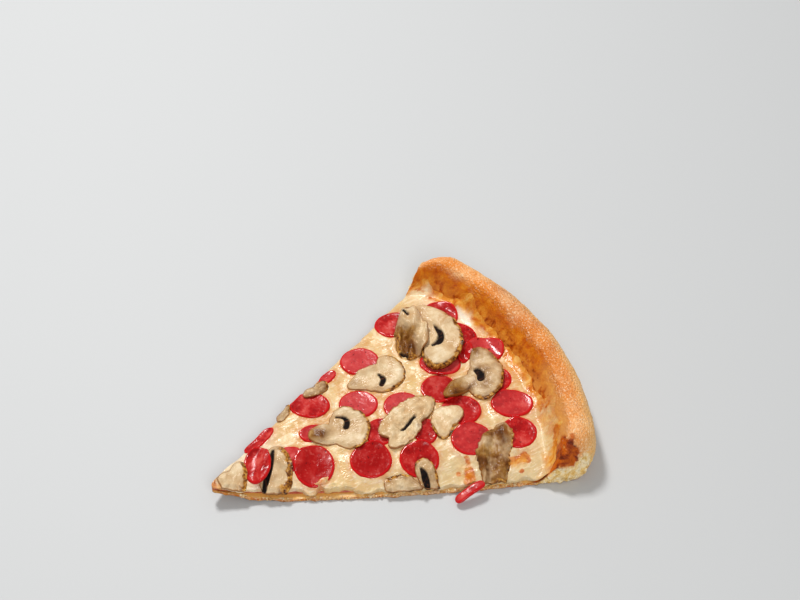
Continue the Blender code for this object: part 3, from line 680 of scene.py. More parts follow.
# sausage rounds as they were scattered: number, x, y, size along and across the turn, turn in degrees, reach past a cut
rounds = {
    "thickness": 2.0, "roll": 0.7, "sides": 64, "rings": 13, "stiffness": 0.45, "sink": 0.7, "gap": 0.1,
    "lip": 0.18, "dish": 0.15, "uneven": 0.14, "wobble": 0.012,
}
underRounds = (
    (1, -36.0, 101.0, 20.0, 18.0, 60, 2.0), (2, -49.5, 128.0, 20.0, 17.5, 60, 2.0),
    (3, -34.5, 82.0, 11.5, 6.5, 112, 1.5), (4, -22.5, 66.0, 20.5, 16.5, 60, 1.0),
    (5, -11.5, 87.5, 19.5, 18.0, 60, 0.0), (6, 0.5, 106.0, 19.5, 18.0, 60, 0.0),
    (10, 2.5, 43.5, 15.0, 14.0, 60, 0.0), (11, -15.0, 34.5, 20.0, 7.5, 112, 1.5),
    (12, -5.5, 60.0, 15.0, 11.0, 70, 0.0), (13, 9.5, 88.5, 15.0, 17.0, 60, 0.0),
    (21, 19.5, 108.5, 12.0, 16.0, 60, 0.0), (15, 16.0, 130.5, 20.0, 18.5, 60, 0.0),
    (19, -0.5, 127.5, 19.0, 18.0, 60, 0.0), (27, -15.0, 136.0, 21.0, 17.0, 60, 0.0),
    (23, -43.0, 151.0, 20.0, 19.0, 60, 0.0), (24, -26.0, 153.0, 19.0, 18.0, 60, 0.0),
    (25, -12.0, 160.0, 20.0, 16.5, 60, 0.0), (26, -14.0, 150.0, 12.0, 7.0, 130, 0.0),
    (28, 7.0, 154.5, 18.0, 17.0, 60, 0.0), (17, 24.5, 154.5, 21.0, 17.0, 60, 0.0),
    (16, 34.0, 126.0, 20.5, 19.5, 60, 0.0), (18, 41.5, 148.0, 18.5, 18.5, 60, 0.0),
    (14, 32.0, 98.0, 19.5, 19.5, 60, 0.0), (8, 21.5, 77.0, 20.5, 19.5, 60, 0.0),
    (7, 11.0, 51.5, 20.0, 23.0, 60, 0.0),
)
paintedShadeByRound = {7: 0.6, 8: 0.65, 14: 0.3, 19: 0.4, 21: 0.6}  # painted shade: a deeper red on the rounds that catch less of the light's reflection
paintedSheenByRound = {1: 0.55, 3: 0.3, 5: 0.6, 6: 0.6, 10: 0.3, 12: 0.3, 16: 0.25, 17: 0.25, 25: 0.4, 27: 0.5}  # painted sheen: a pinker red on the rounds that catch the light's reflection


def layRound(number, x, y, length, width, turn, past):
    outline = outlineOf(x, y, ovalsReach([(0.0, 0.0, length, width, turn)]), past, number, rounds["wobble"])
    rows, columns, inset, height = drape(x, y, outline, rounds["stiffness"], rounds["sink"], rounds["gap"])

    def relief(points, local, insets, tops):
        lip = rounds["lip"] * np.exp(-((insets - 0.9) / 0.45) ** 2)
        dish = -rounds["dish"] * smooth((insets - 1.5) / 4.0)
        return tops * (lip + dish + rounds["uneven"] * roughness(points, 6.0, 3, number))

    points, faces, insets, _, at = piecePoints(
        x, y, outline, math.radians(turn), rows, columns, height, rounds, number, relief)
    settle(rows, columns, inset, height, rounds["thickness"], rounds["thickness"], True)
    # each round carries its share of painted sheen and painted shade as masks
    addPiece(f"sausageRound_{number:02d}", points, faces, sausageLook, [f"sausage_{number:02d}"],
             {"at": at, "inset": insets, "paintedSheen": np.full(len(points), paintedSheenByRound.get(number, 0.0)),
              "paintedShade": np.full(len(points), paintedShadeByRound.get(number, 0.0))})


# mushroom slices from the first laid to the last: x, y, ovals of the outline, thickness, reach past a cut, then the
# looks: way the fibres run in degrees, gills as lines of (x, y, half width), directions between which the rim has skin
# and its width, browning from 0 to 1, browned places as (x, y, radius along x and y, strength), folds as (height,
# distance), height of the bumps and raggedness of the edge
slices = {
    "roll": 0.4, "sides": 120, "rings": 24, "stiffness": 0.4, "sink": 0.6, "gap": 0.1, "wobble": 0.035,
    "thinner": 1.3, "thinReach": 3.0, "ragged": 0.45, "skinWide": 1.5, "gillDeep": 0.9,
}
lowMushrooms = {
    10: {"at": (37.5, 82.5), "ovals": ((2.0, 1.0, 16.5, 11.5, 60), (3.0, 3.0, 18.5, 9.5, 45)), "thick": 2.2,
         "fibres": 150, "skin": (87, 242), "skinWide": 2.6, "brown": 0.35, "bumps": 0.4, "folds": (0.5, 9.0)},
    8: {"at": (43.5, 97.0), "ovals": ((-2.5, 0.0, 16.0, 10.5, 175), (3.0, -1.0, 9.5, 8.0, 55)), "thick": 2.4,
        "fibres": 160, "gills": (((38.2, 95.5, 0.7), (40.5, 95.6, 1.5), (44.0, 95.0, 1.9), (49.5, 93.5, 1.1)),),
        "skin": (17, 203), "skinWide": 1.4, "brown": 0.3, "bumps": 0.5},
    7: {"at": (5.0, 35.0), "ovals": ((0.5, -0.5, 27.0, 15.0, 160), (1.5, -2.0, 22.0, 14.5, 130)), "thick": 2.8,
        "fibres": 155, "gills": (((-4.6, 37.2, 0.8), (2.0, 32.3, 1.9), (11.8, 24.2, 1.2)),),
        "skin": (-25, 153), "skinWide": 3.8, "brown": 0.18},
    4: {"at": (0.0, 74.0), "thick": 3.0, "fibres": 80,
        "ovals": ((0.0, 2.0, 23.0, 21.0, 145), (-1.0, -8.5, 19.5, 12.0, 70), (0.0, 2.0, 27.0, 18.5, 170)),
        "gills": (((-8.3, 73.5, 0.6), (-6.5, 76.6, 0.9), (-3.4, 77.4, 1.4), (-0.6, 75.0, 1.5)),),
        "skin": (-10, 165), "brown": 0.2, "burnt": ((-5.5, 58.5, 4.5, 5.5, 1.1), (-1.0, 62.0, 3.0, 3.0, 0.6))},
    2: {"at": (-21.5, 106.5), "thick": 2.8, "fibres": 80,
        "ovals": ((-2.0, -3.5, 29.5, 12.0, 90), (1.0, -3.0, 24.0, 15.0, 55), (-1.5, 5.5, 21.0, 13.0, 175)),
        "gills": (((-22.5, 104.9, 0.7), (-18.8, 106.0, 1.5), (-16.4, 103.2, 1.3)),),
        "skin": (-20, 154), "brown": 0.1, "burnt": ((-24.0, 91.5, 2.0, 3.0, 0.6), (-13.5, 96.0, 2.0, 3.0, 0.5))},
    5: {"at": (12.5, 102.0), "ovals": ((4.5, -3.5, 21.0, 9.5, 105), (-4.5, 2.0, 36.0, 15.5, 105)), "thick": 3.0,
        "fibres": 105, "gills": (((10.8, 107.0, 0.8), (13.2, 102.0, 1.1), (14.6, 97.8, 0.8)),),
        "skin": (90, 225), "skinWide": 1.0, "brown": 0.0, "bumps": 1.3},
    6: {"at": (17.0, 118.5), "ovals": ((2.0, -0.5, 19.5, 11.0, 155), (0.5, 3.0, 18.5, 12.5, 100)), "thick": 2.8,
        "fibres": 120, "skin": (-70, 43), "brown": 0.0},
    3: {"at": (3.0, 147.0), "thick": 3.4, "fibres": 80,
        "ovals": ((-2.5, 7.0, 28.0, 15.0, 170), (1.5, 4.0, 27.5, 19.0, 140), (0.5, -10.0, 23.5, 9.0, 105)),
        "gills": (((-0.5, 148.6, 1.5), (3.5, 149.0, 2.1), (5.6, 147.6, 1.9)),),
        "skin": (-40, 152), "brown": 0.5, "burnt": ((5.5, 128.5, 6.0, 8.0, 1.5), (-15.0, 153.0, 4.0, 6.0, 0.8))},
    1: {"at": (-29.0, 141.0), "thick": 4.6, "past": 0.5, "fibres": 95,
        "ovals": ((6.5, 0.5, 30.5, 19.5, 130), (-8.0, 2.5, 34.0, 21.5, 25), (-2.0, -4.5, 42.0, 10.5, 0)),
        "gills": (((-35.0, 144.0, 0.6), (-28.6, 144.4, 1.7), (-25.0, 141.6, 2.0), (-24.0, 136.8, 1.0)),),
        "skin": (-85, 132), "skinWide": 2.2, "brown": 0.1, "burnt": ((-20.0, 130.0, 6.0, 3.0, 0.4),)},
}
highMushrooms = {
    12: {"at": (-24.5, 52.5), "ovals": ((0.0, 0.0, 10.5, 5.5, 125),), "thick": 2.2, "past": 2.0,
         "fibres": 125, "skin": (61, 156), "brown": 0.55, "bumps": 0.5},
    11: {"at": (-29.5, 73.0), "ovals": ((0.0, 0.0, 15.0, 7.5, 100),), "thick": 2.4, "past": 2.0,
         "fibres": 100, "skin": (70, 214), "brown": 0.55, "bumps": 0.7},
    14: {"at": (-36.5, 130.0), "ovals": ((0.5, 1.0, 27.0, 17.5, 160), (-1.5, 0.5, 32.5, 15.0, 150)), "thick": 3.0,
         "past": 0.5, "fibres": 150, "skin": (225, 349), "skinWide": 2.8, "brown": 0.0, "bumps": 0.8,
         "gills": (((-49.5, 134.0, 1.2), (-46.5, 134.6, 0.8)), ((-29.5, 121.0, 0.6), (-26.5, 122.5, 1.6))),
         "burnt": ((-31.0, 123.5, 9.5, 6.5, 1.9), (-40.0, 124.0, 6.5, 5.5, 1.5), (-37.0, 130.0, 2.5, 6.5, 0.9)),
         "folds": (1.2, 6.5), "ragged": 0.8},
    9: {"at": (48.5, 131.5), "ovals": ((1.5, -1.0, 38.0, 14.0, 145), (-4.5, 2.0, 28.5, 15.5, 125)), "thick": 3.0,
        "past": 0.5, "fibres": 150, "skin": (-27, 128), "skinWide": 1.4, "brown": 0.82, "bumps": 0.6,
        "burnt": ((44.0, 122.5, 3.5, 4.5, 0.9), (58.0, 128.0, 4.0, 4.0, 0.7), (38.0, 134.0, 2.5, 2.5, 0.6)),
        "folds": (1.0, 8.5), "ragged": 1.2},
}
tipMushroom = {
    "at": (1.5, 14.5), "ovals": ((0.0, -2.5, 14.5, 11.0, 75), (0.0, 1.0, 20.0, 9.0, 150)), "thick": 2.2,
    "fibres": 150, "skin": (-3, 143), "skinWide": 2.4, "brown": 0.1,
}


def rounded(stroke):
    # the drawn line with its corners cut twice, so that it bends softly
    line = np.array(stroke, float)
    for _ in range(2):
        cuts = np.stack([0.75 * line[:-1] + 0.25 * line[1:], 0.25 * line[:-1] + 0.75 * line[1:]], axis=1)
        line = np.concatenate([line[:1], cuts.reshape(-1, line.shape[1])[1:-1], line[-1:]])
    return line


def strokeMask(points, strokes, soft=0.5):
    # 1 along drawn lines whose points hold their half width, 0 away from them
    found = np.zeros(len(points))
    for stroke in map(rounded, strokes):
        for (ax, ay, aw), (bx, by, bw) in zip(stroke[:-1], stroke[1:]):
            way = np.array([bx - ax, by - ay])
            share = np.clip(((points[:, 0] - ax) * way[0] + (points[:, 1] - ay) * way[1]) / (way @ way), 0, 1)
            off = np.hypot(points[:, 0] - ax - share * way[0], points[:, 1] - ay - share * way[1])
            found = np.maximum(found, smooth((aw + (bw - aw) * share + soft / 2 - off) / soft))
    return found


def layMushroom(number, piece):
    x, y = piece["at"]
    gills, bumps = piece.get("gills", ()), piece.get("bumps", 0.0)
    outline = outlineOf(x, y, ovalsReach(piece["ovals"]), piece.get("past", 0.0), number + 40, slices["wobble"],
                        piece.get("ragged", slices["ragged"]))
    rows, columns, inset, height = drape(x, y, outline, slices["stiffness"], slices["sink"], slices["gap"])
    profile = dict(slices, thickness=piece["thick"])

    def relief(points, local, insets, tops):
        fibres = 0.08 * roughness(local * (1.0, 0.15, 1.0) + (0, 0, number), 1.1, 2, number)
        swell = 0.35 * roughness(points, 7.0, 3, number + 3) + bumps * roughness(points, 2.6, 3, number + 5)
        size, length = piece.get("folds", (0.0, 6.0))
        swell = swell + size * np.sin(2 * math.pi * local[:, 0] / length + 1.5 * roughness(points, 9.0, 2, number + 7))
        thinning = -slices["thinner"] * (1 - smooth(insets / slices["thinReach"]))
        return tops * (fibres + swell + thinning - slices["gillDeep"] * strokeMask(points, gills))

    points, faces, insets, tops, at = piecePoints(
        x, y, outline, math.radians(piece["fibres"]), rows, columns, height, profile, number, relief)
    settle(rows, columns, inset, height, piece["thick"], piece["thick"] - slices["thinner"], False)
    gill = strokeMask(points, gills) * tops
    skinFrom, skinTo = piece["skin"]
    span = skinTo - skinFrom
    turned = np.mod(np.degrees(np.arctan2(points[:, 1] - y, points[:, 0] - x)) - skinFrom, 360)
    within = np.where(turned <= span, np.minimum(turned, span - turned), -np.minimum(turned - span, 360 - turned))
    skinSide = smooth((within + 10) / 20)
    skinWide = piece.get("skinWide", slices["skinWide"]) * (1 + 0.5 * roughness(points, 4.0, 2, number + 11))
    rimward = smooth((skinWide - insets) / 0.5)
    skin = held(np.maximum(rimward, 1 - tops) * skinSide)
    cloudy = held(0.5 + roughness(points, 5.0, 3, number + 9))
    brown = piece["brown"] * (0.4 + cloudy) + 0.25 * (1 - tops)
    for entry in piece.get("burnt", ()):
        brown = brown + entry[4] * spots(points[:, 0], points[:, 1], [entry])
    addPiece(f"mushroomSlice_{number:02d}", points, faces, mushroomLook, [f"mushroom_{number:02d}"],
             {"at": at, "inset": insets, "gill": gill, "skin": skin, "brown": held(brown)})


for entry in underRounds:
    layRound(*entry)
print("rounds laid")
for number, piece in lowMushrooms.items():
    layMushroom(number, piece)

# the strip of sausage that hangs out of the near cut
sliver = {
    "top": (57.5, 119.5, 6.0), "foot": (59.0, 103.0, 2.4), "width": 4.6, "thickness": 2.2, "arch": 0.8,
    "stations": 40, "sides": 20,
}


def hangingSliver():
    top, foot = np.array(sliver["top"]), np.array(sliver["foot"])
    forward = (foot - top) / np.linalg.norm(foot - top)
    side = np.cross(forward, (0.0, 0.0, 1.0))
    side /= np.linalg.norm(side)
    up = np.cross(side, forward)
    rings, insets = [], []
    count = sliver["sides"]
    angles = 2 * math.pi * np.arange(count) / count
    flat, tall = (np.sign(wave) * np.abs(wave) ** 0.6 for wave in (np.cos(angles), np.sin(angles)))
    for share in np.linspace(0.0, 1.0, sliver["stations"]):
        middle = top + (foot - top) * share + up * sliver["arch"] * math.sin(math.pi * share)
        halfWidth = sliver["width"] / 2 * math.sqrt(max(1.0 - (2 * share - 1) ** 8, 0.02))
        halfThick = sliver["thickness"] / 2 * min(1.0, 0.25 + 6 * share * (1 - share))
        rings.append(middle + np.outer(flat * halfWidth, side) + np.outer(tall * halfThick, up))
        insets.append(halfWidth * (1 - np.abs(flat)))
    points = np.concatenate(rings)
    points += 0.25 * roughness(points, 3.0, 3, 22)[:, None] * up
    faces = []
    for start in range(0, (len(rings) - 1) * count, count):
        faces += [(start + i, start + (i + 1) % count, start + count + (i + 1) % count, start + count + i)
                  for i in range(count)]
    faces += [tuple(range(count))[::-1], tuple((len(rings) - 1) * count + i for i in range(count))]
    # the strip carries some painted sheen and no painted shade
    addPiece("sausageStrip_22", points, faces, sausageLook, ["sausage_22"],
             {"at": points * mm, "inset": np.concatenate(insets), "paintedSheen": np.full(len(points), 0.35),
              "paintedShade": np.zeros(len(points))})


hangingSliver()
for number, piece in highMushrooms.items():
    layMushroom(number, piece)

# on the mushroom slice near the tip: a leaning round, then the slice over the tip itself
layRound(9, -1.0, 27.0, 13.5, 20.5, 60, 0.0)
layMushroom(13, tipMushroom)
print("mushrooms laid")

# cheese: the solid's own surface, drawn up round the pieces that sank into it
cheese = {
    "columns": 190, "rows": 250, "side": 6, "bunched": 0.06, "past": 3.5, "relief": 0.50, "fine": 0.10,
    "wideDraw": 1.2, "edgeDraw": 1.6, "drip": 2.7, "bulge": 0.8, "reach": 22.0, "nearReach": 3.5,
    "buried": 1.2, "buriedUnder": 2.2, "oilMost": 0.95, "oilReach": 1.4,
}
climbed = blurred(climbed, onSlice, 2)
cheeseField = np.minimum(cheeseGrid + climbed, ceiling)
cheeseField = np.where(onSlice, cheeseField, cheeseTop(clippedU, clippedT))
veiled = blurred(pile, onSlice, 4)
oilField = cheese["oilMost"] * np.exp(-nearSausage / cheese["oilReach"])
for _ in range(2):
    oilField = blurred(oilField, np.ones(oilField.shape, bool))

# spots in the cheese: x, y, radius along x and y, height, in mm
lumps = ((-38.5, 162.3, 8.0, 1.5, 1.6), (-30.5, 165.0, 2.6, 2.2, 0.8), (-6.1, 170.4, 4.0, 4.0, 1.0))
veils = ((25.6, 51.0, 6.8, 5.8, 1.3),)  # cheese that ran over a piece
toastSpots = ((60.0, 160.5, 7.0, 6.5), (65.5, 156.0, 4.0, 5.0), (-0.5, 3.0, 7.0, 4.5),
              (55.0, 141.0, 2.4, 6.0), (50.0, 115.0, 5.0, 2.6))
stains = ((53.0, 137.5, 2.0, 5.0), (55.5, 144.5, 4.0, 1.8), (60.0, 139.0, 1.4, 2.0), (54.0, 131.5, 1.8, 3.0),
          (48.5, 117.0, 2.6, 2.2), (52.5, 114.0, 2.2, 3.4), (43.0, 118.5, 2.8, 1.8), (47.0, 111.0, 1.6, 1.6),
          (-6.1, 170.4, 3.2, 2.6), (-3.5, 173.0, 2.0, 2.4), (-9.0, 168.5, 1.6, 1.8))
milkSpots = ((-38.5, 162.3, 8.5, 1.9), (-30.5, 165.0, 2.6, 2.2))


def crustEdge(flat, u):
    # how far in from the outside of the crust the cheese reaches, wavering, and higher up towards the near cut
    wavering = 4.4 * roughness(flat, 14.0, 2, 5) + 0.9 * roughness(flat, 5.0, 2, 6)
    return cheese["reach"] - cheese["nearReach"] * fade(u, 0.25, 0.75) + wavering


def buildCheese():
    even = np.linspace(-1.0, 1.0, cheese["columns"])
    us = even + cheese["bunched"] * np.sin(math.pi * even)  # closer together at the cuts
    end = 1.0 - (layers["cheeseEnd"] - cheese["past"]) / (plan["length"] - plan["tipCut"])
    ts = end * np.linspace(0.0, 1.0, cheese["rows"]) ** 1.05
    rings, uRing, tRing, side = loft(us, ts, cheeseBottom, cheeseTop, cheese["side"])
    x, y = rings[..., 0], rings[..., 1]
    inward = fromCrust(tRing)
    flat = rings * (1, 1, 0)
    wavy, fine = roughness(flat, 8.0, 3, 1), roughness(flat, 2.6, 3, 2)
    # the near edge shrank back in places
    drawnBack = fade(uRing, 0.75, 1.0) * (0.5 + (cheese["wideDraw"] + 2.0 * wavy) * fade(tRing, 0.55, 0.25))
    drawnBack += cheese["edgeDraw"] * fade(uRing, 0.96, 1.0) * held(0.4 + 1.6 * wavy) * fade(inward, 26.0, 32.0)
    x -= np.maximum(drawnBack, 0.0) * math.cos(half)
    y += np.maximum(drawnBack, 0.0) * math.sin(half)
    over = side > 0
    lift = sample(cheeseField, x, y) - cheeseTop(uRing, tRing) + cheese["relief"] * wavy + cheese["fine"] * fine
    bare = sample(covered.astype(float), x, y) <= 0.5
    for entry in lumps:
        lift += entry[4] * spots(x, y, [entry]) * bare
    edge = crustEdge(flat, uRing)
    beyond = smooth((edge + 3.0 - inward) / 8.0)
    height = np.where(over, rings[..., 2] + lift * (1.0 - 0.7 * beyond), rings[..., 2])
    for entry in veils:
        share = spots(x, y, [entry]) * (1 + 0.5 * fine)
        veil = sample(veiled, x, y) + entry[4] * fade(share, 0.35, 0.65)
        height = np.where(over & (share > 0.35), np.maximum(height, veil), height)
    buried = doughTop(uRing, tRing) - np.where(over, cheese["buried"], cheese["buriedUnder"])
    height = np.where(side != 0, height * (1 - beyond) + buried * beyond, height)
    # the cut faces: rounded over, hanging a little over the dough at the near cut
    wide, steps = len(us), cheese["side"]
    near, far, shares = cutColumns(wide, steps)
    for columns, outward in ((near, 1.0), (far, -1.0)):
        bulge = cheese["bulge"] * np.sin(math.pi * shares) * (0.7 + 0.6 * wavy[:, columns])
        x[:, columns] += outward * bulge * math.cos(half)
        y[:, columns] -= bulge * math.sin(half)
    drip = cheese["drip"] * held(0.55 + 1.1 * wavy[:, wide] + 0.5 * fine[:, wide]) * fade(inward[:, 0], 24.0, 34.0)
    height[:, near] = np.outer(height[:, wide - 1] - drip, 1 - shares) + np.outer(height[:, wide + steps], shares)
    height[:, far] = np.outer(height[:, 2 * wide + steps - 1], 1 - shares) + np.outer(height[:, 0], shares)
    rings[..., 2] = height
    stain = 1.1 * spots(x, y, stains) + 0.7 * spots(x, y, toastSpots)
    stain = stain + 0.9 * fade(roughness(flat, 3.2, 3, 8), 0.1, 0.25) * smooth(1.0 - np.abs(inward - edge - 2.0) / 5.0)
    # painted glints: a lighter ring about 1.6 mm out from each piece's rim, where wet cheese would catch the light
    glintRing = np.exp(-((sample(nearPiece, x, y) - 1.6) / 0.5) ** 2)
    milkyAndGlints = spots(x, y, milkSpots) + 0.4 * fade(y, 52.0, 32.0) + 0.35 * fade(y, 135.0, 155.0) * fade(x, -18.0, -28.0)
    milkyAndGlints = milkyAndGlints + 0.3 * glintRing * held(0.5 + 1.5 * fine)
    toast = smooth((edge + 7.0 + 5.0 * wavy - inward) / 7.0) * (1.0 - 0.3 * fade(uRing, 0.2, 0.7))
    toast = toast + spots(x, y, toastSpots) * (0.8 + 0.8 * fine)
    pale = 0.8 * fade(x, 15.0, 45.0) + 0.25 * wavy
    faces = ringFaces(len(ts), rings.shape[1], wide, steps, True)
    addPiece("meltedCheese", rings, faces, cheeseLook, ["cheese"], {
        "oil": held(sample(oilField, x, y) * (side >= 0)), "stain": held(stain), "milkyAndGlints": held(milkyAndGlints),
        "toast": held(toast), "pale": held(pale)})


buildCheese()
print("cheese poured")

# dough: base, puffed rim and torn ends
crumb = {
    "columns": 210, "bunched": 0.05, "baseRows": 70, "slopeRows": 30, "outerRows": 56, "side": 12,
    "lump": 0.55, "small": 0.22, "pit": 0.28, "flake": 1.5, "hole": 1.2, "nick": 0.5, "ragged": 1.5, "underPit": 0.25,
    "foot": 1.8, "slopeFrom": 13.0, "tornFrom": 10.0, "flecksAt": 21.5, "flecksWide": 3.5,
}
brownPatch = (68.0, 153.0, 7.5, 10.0)  # x, y, radius along x and y, in mm


def buildDough():
    length = plan["length"] - plan["tipCut"]
    even = np.linspace(-1.0, 1.0, crumb["columns"])
    us = even + crumb["bunched"] * np.sin(math.pi * even)
    base = (1.0 - dough["crustWidth"] / length) * np.linspace(0.0, 1.0, crumb["baseRows"])
    slope = 1.0 - np.linspace(dough["crustWidth"], dough["crest"], crumb["slopeRows"])[1:] / length
    turn = np.linspace(0.0, math.pi / 2, crumb["outerRows"])[1:]
    outer = 1.0 - dough["crest"] * (1.0 - np.sin(turn)) / length
    ts = np.concatenate([base, slope, outer])
    rings, uRing, tRing, side = loft(us, ts, doughBottom, doughTop, crumb["side"])
    inward = fromCrust(tRing)
    onTop, cut = side > 0, side == 0
    normals = ringNormals(rings)
    outwards = np.array([0.0, 1.0, 0.0])
    normals[-1] = outwards
    footward = ((side < 0) * fade(inward, crumb["foot"], 0.4))[..., None]  # no fold where the underside meets the wall
    normals = normals * (1 - footward) + outwards * footward
    rimZone = fade(inward, 30.0, 24.0)
    wide, steps = len(us), crumb["side"]
    near, far, shares = cutColumns(wide, steps)
    for columns, outward in ((near, 1.0), (far, -1.0)):
        swollen = fade(inward[:, columns], dough["crustWidth"], dough["crustWidth"] - dough["crest"])
        rings[:, columns, 0] += outward * dough["tornBulge"] * np.sin(math.pi * shares) * swollen
    slopeMask = fade(inward + 2.0 * roughness(rings, 9.0, 3, 18), crumb["slopeFrom"], crumb["slopeFrom"] + 4.0) * onTop
    lumpy = crumb["lump"] * (roughness(rings, 15.0, 2, 11) - 0.35)
    lumpy += crumb["small"] * (roughness(rings, 4.5, 3, 12) - 0.3)
    pitted = -crumb["pit"] * held(1.0 - pits(rings, 2.3, 13) / 0.35)
    skin = lumpy + pitted * (1 - 0.7 * slopeMask)
    flaky = -crumb["flake"] * held(roughness(rings, 3.2, 4, 14) + 0.25)
    flaky -= crumb["hole"] * held(1.0 - pits(rings, 3.4, 15) / 0.5)
    baseCut = -crumb["nick"] * held(roughness(rings, 1.8, 3, 16) + 0.4)
    baseCut -= crumb["ragged"] * held(roughness(rings, 6.0, 3, 26) + 0.1)
    rounding = fade(inward, 9.0, 3.0)  # the skin runs on round the foot of the rim
    underSide = -crumb["underPit"] * held(roughness(rings, 6.0, 3, 17) + 0.4) * (1 - rounding) + skin * rounding
    amount = np.where(onTop, skin * (1 - fade(inward, 20.0, 23.0)),
                      np.where(side < 0, underSide, baseCut * (1 - rimZone) + flaky * rimZone))
    rimTorn = fade(uRing + 0.03 * roughness(rings, 5.0, 2, 23), 0.93, 0.97)
    rimTorn = rimTorn * fade(inward, crumb["tornFrom"], 7.0) * onTop
    amount = amount * (1 - rimTorn) + 0.8 * flaky * rimTorn
    rings = rings + normals * amount[..., None]
    # top and underside meet in one line round the outside, sewn together below
    seam = (rings[-1, :wide] + rings[-1, wide + steps:2 * wide + steps][::-1]) / 2
    rings[-1, :wide], rings[-1, wide + steps:2 * wide + steps] = seam, seam[::-1]
    rings[-1, near], rings[-1, far] = seam[-1], seam[0]
    # where the crumb shows, where the oven floor scorched, and the flecks and patch that browned
    scorched = smooth((3.2 + 4.5 * roughness(rings, 7.0, 3, 25) - rings[..., 2]) / 4.0)
    under = np.where(inward < 12.0, scorched * ~cut, side < 0)
    under = under + 0.8 * cut * fade(rings[..., 2] - doughBottom(uRing, tRing), 0.8, 0.2)
    nearRim = fade(uRing + 0.03 * roughness(rings, 5.0, 2, 23), 0.94, 0.98) * onTop
    openRim = nearRim * fade(inward - 3.0 * roughness(rings, 5.0, 3, 27), crumb["tornFrom"], 7.5)
    torn = np.maximum(cut * rimZone, openRim)
    torn = np.maximum(torn, 0.6 * nearRim * (1 - rimZone) * held(0.7 + roughness(rings, 2.0, 3, 24)))
    torn = np.maximum(torn, cut * (1 - rimZone) * held(0.15 + 0.8 * roughness(rings, 2.0, 3, 21)))
    toasted = 0.6 * held(0.9 * roughness(rings, 22.0, 3, 19) + 0.25) * fade(inward, 0.0, 7.0) * onTop
    toasted = toasted * (1 - 0.7 * fade(uRing, -0.55, -0.85))
    toasted = toasted + cut * (1 - rimZone) * held(0.45 + 1.4 * roughness(rings, 2.0, 3, 29))
    patch = held(1.5 * spots(rings[..., 0], rings[..., 1], [brownPatch]) * (1 + 0.9 * roughness(rings, 4.0, 3, 28)))
    patch = fade(patch, 0.3, 0.55)
    flecks = fade(roughness(rings, 2.4, 3, 20), 0.08, 0.13)
    flecks = flecks * smooth(1.3 - np.abs(inward - crumb["flecksAt"]) / crumb["flecksWide"]) * onTop
    crust = addPiece(
        "bakedCrust", rings, ringFaces(len(ts), rings.shape[1], wide, steps, False), crustLook, ["dough"], {
            "inward": held(inward / 25.0), "torn": torn * (1 - patch * onTop), "under": held(under), "slope": slopeMask,
            "toast": held(toasted), "stain": held(flecks + patch),
            "mellow": fade(uRing + 0.15 * roughness(rings, 12.0, 2, 30), 0.2, 0.55)})
    sewn = bmesh.new()
    sewn.from_mesh(crust.data)
    bmesh.ops.remove_doubles(sewn, verts=sewn.verts, dist=1e-7)
    sewn.to_mesh(crust.data)
    sewn.free()


buildDough()
print("dough baked")

# crumbs that stuck to the near cut
crumbs = {"count": 260, "least": 0.3, "most": 1.0, "first": 0.05, "last": 0.85, "seed": 7}


def scatterCrumbs():
    draw = np.random.default_rng(crumbs["seed"])
    golden = (1 + math.sqrt(5)) / 2
    corners = np.array([(0, a, b * golden) for a in (-1, 1) for b in (-1, 1)], float)
    corners = np.concatenate([corners, corners[:, [1, 2, 0]], corners[:, [2, 0, 1]]]) / math.hypot(1, golden)
    gaps = np.linalg.norm(corners[:, None] - corners[None], axis=-1)
    sides = [(i, j, k) for i in range(12) for j in range(i) for k in range(j)
             if gaps[i, j] < 1.1 and gaps[j, k] < 1.1 and gaps[i, k] < 1.1]
    sides = [(i, j, k) if np.linalg.det(corners[[i, j, k]]) > 0 else (i, k, j) for i, j, k in sides]
    points, faces, browned, opened = [], [], [], []
    for number in range(crumbs["count"]):
        t = draw.uniform(crumbs["first"], crumbs["last"])
        x, y = placeAt(np.array(1.0), np.array(t))
        size = draw.uniform(crumbs["least"], crumbs["most"]) * draw.uniform(0.6, 1.0)
        z = max(float(doughBottom(np.array(1.0), np.array(t))) + draw.uniform(0.1, 1.9), size)
        lump = corners * draw.uniform(0.7, 1.3, (12, 1)) * draw.uniform(0.6, 1.3, 3) * size
        faces += [tuple(12 * number + k for k in side) for side in sides]
        points.append(lump + (float(x) + draw.uniform(-0.2, 0.3), float(y), z))
        browned.append(np.full(12, draw.uniform(0.0, 0.9)))
        opened.append(np.full(12, draw.uniform(0.2, 1.0)))
    zeros = np.zeros(12 * crumbs["count"])
    addPiece("looseCrumbs", np.concatenate(points), faces, crustLook, (), {
        "inward": zeros + 0.6, "torn": np.concatenate(opened), "under": zeros, "slope": zeros, "toast": zeros,
        "stain": np.concatenate(browned) ** 2, "mellow": zeros})


scatterCrumbs()

sauce = {"columns": 90, "rows": 150, "side": 2, "end": 28.0, "ragged": 0.35, "drawnBack": 2.2}


def buildSauce():
    us = np.linspace(-1.0, 1.0, sauce["columns"])
    ts = np.linspace(0.0, 1.0 - sauce["end"] / (plan["length"] - plan["tipCut"]), sauce["rows"])
    rings, uRing, tRing, _ = loft(us, ts, sauceBottom, sauceTop, sauce["side"])
    edge = sauce["ragged"] * roughness(rings * (1, 1, 0), 3.0, 3, 31) * (np.abs(uRing) > 0.97)
    rings[..., 0] -= np.sign(uRing) * np.abs(edge)
    rings[..., 0] -= fade(uRing, 0.75, 1.0) * (sauce["drawnBack"] + 0.6 * fade(tRing, 0.55, 0.25))
    faces = ringFaces(len(ts), rings.shape[1], len(us), sauce["side"], True)
    addPiece("tomatoSauce", rings, faces, sauceLook, ["sauce"])


buildSauce()

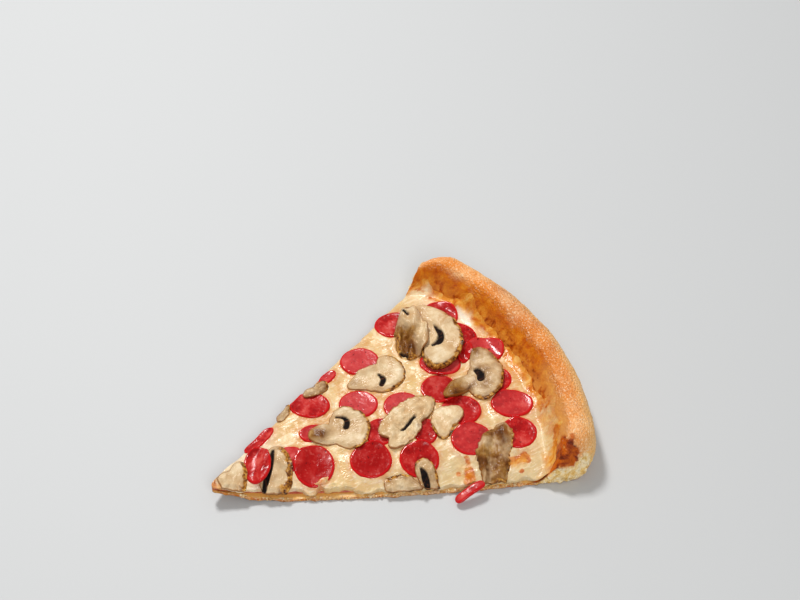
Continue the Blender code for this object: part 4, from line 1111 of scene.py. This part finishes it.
# floor, light and camera
ground = {"reach": 6.0, "colour": "#C4C5C5", "roughness": 0.6}
floorLook = bpy.data.materials.new("paleFloor")
floorLook.use_nodes = True
shader = floorLook.node_tree.nodes["Principled BSDF"]
shader.inputs["Base Color"].default_value = colour(ground["colour"])
shader.inputs["Roughness"].default_value = ground["roughness"]
floorMesh = bpy.data.meshes.new("floor")
corners = [(x * ground["reach"], y * ground["reach"], 0.0) for x, y in ((-1, -1), (1, -1), (1, 1), (-1, 1))]
floorMesh.from_pydata(corners, [], [(0, 1, 2, 3)])
floorMesh.materials.append(floorLook)
floor = bpy.data.objects.new("floor", floorMesh)
bpy.context.scene.collection.objects.link(floor)

view = {"target": (-70.5, 45.35, 0.0), "from": (519.3, -276.4, 740.7), "lens": 85.46, "sensor": 36.0}
light = {
    "sky": 0.36, "key": 14.5, "keyAt": (-0.80, 0.02, 1.16), "keySize": 0.26,
    "fill": 7.0, "fillAt": (0.95, -0.30, 0.95), "fillSize": 0.6,
}


def aimed(obj, target):
    way = Vector(target) - obj.location
    obj.rotation_euler = way.to_track_quat("-Z", "Y").to_euler()


def softLight(name, place, size, power):
    data = bpy.data.lights.new(name, "AREA")
    data.shape = "SQUARE"
    data.size = size
    data.energy = power
    lamp = bpy.data.objects.new(name, data)
    lamp.location = place
    aimed(lamp, (0.0, 0.0, 0.0))
    bpy.context.scene.collection.objects.link(lamp)


softLight("keyLight", light["keyAt"], light["keySize"], light["key"])
softLight("fillLight", light["fillAt"], light["fillSize"], light["fill"])
world = bpy.data.worlds.new("studio")
world.use_nodes = True
world.node_tree.nodes["Background"].inputs[0].default_value = (1.0, 1.0, 1.0, 1.0)
world.node_tree.nodes["Background"].inputs[1].default_value = light["sky"]
bpy.context.scene.world = world
bpy.context.scene.view_settings.view_transform = "Standard"

cameraData = bpy.data.cameras.new("camera")
cameraData.lens = view["lens"]
cameraData.sensor_width = view["sensor"]
camera = bpy.data.objects.new("camera", cameraData)
camera.location = Vector(view["from"]) * mm
aimed(camera, Vector(view["target"]) * mm)
bpy.context.scene.collection.objects.link(camera)
bpy.context.scene.camera = camera

print("scene ready")
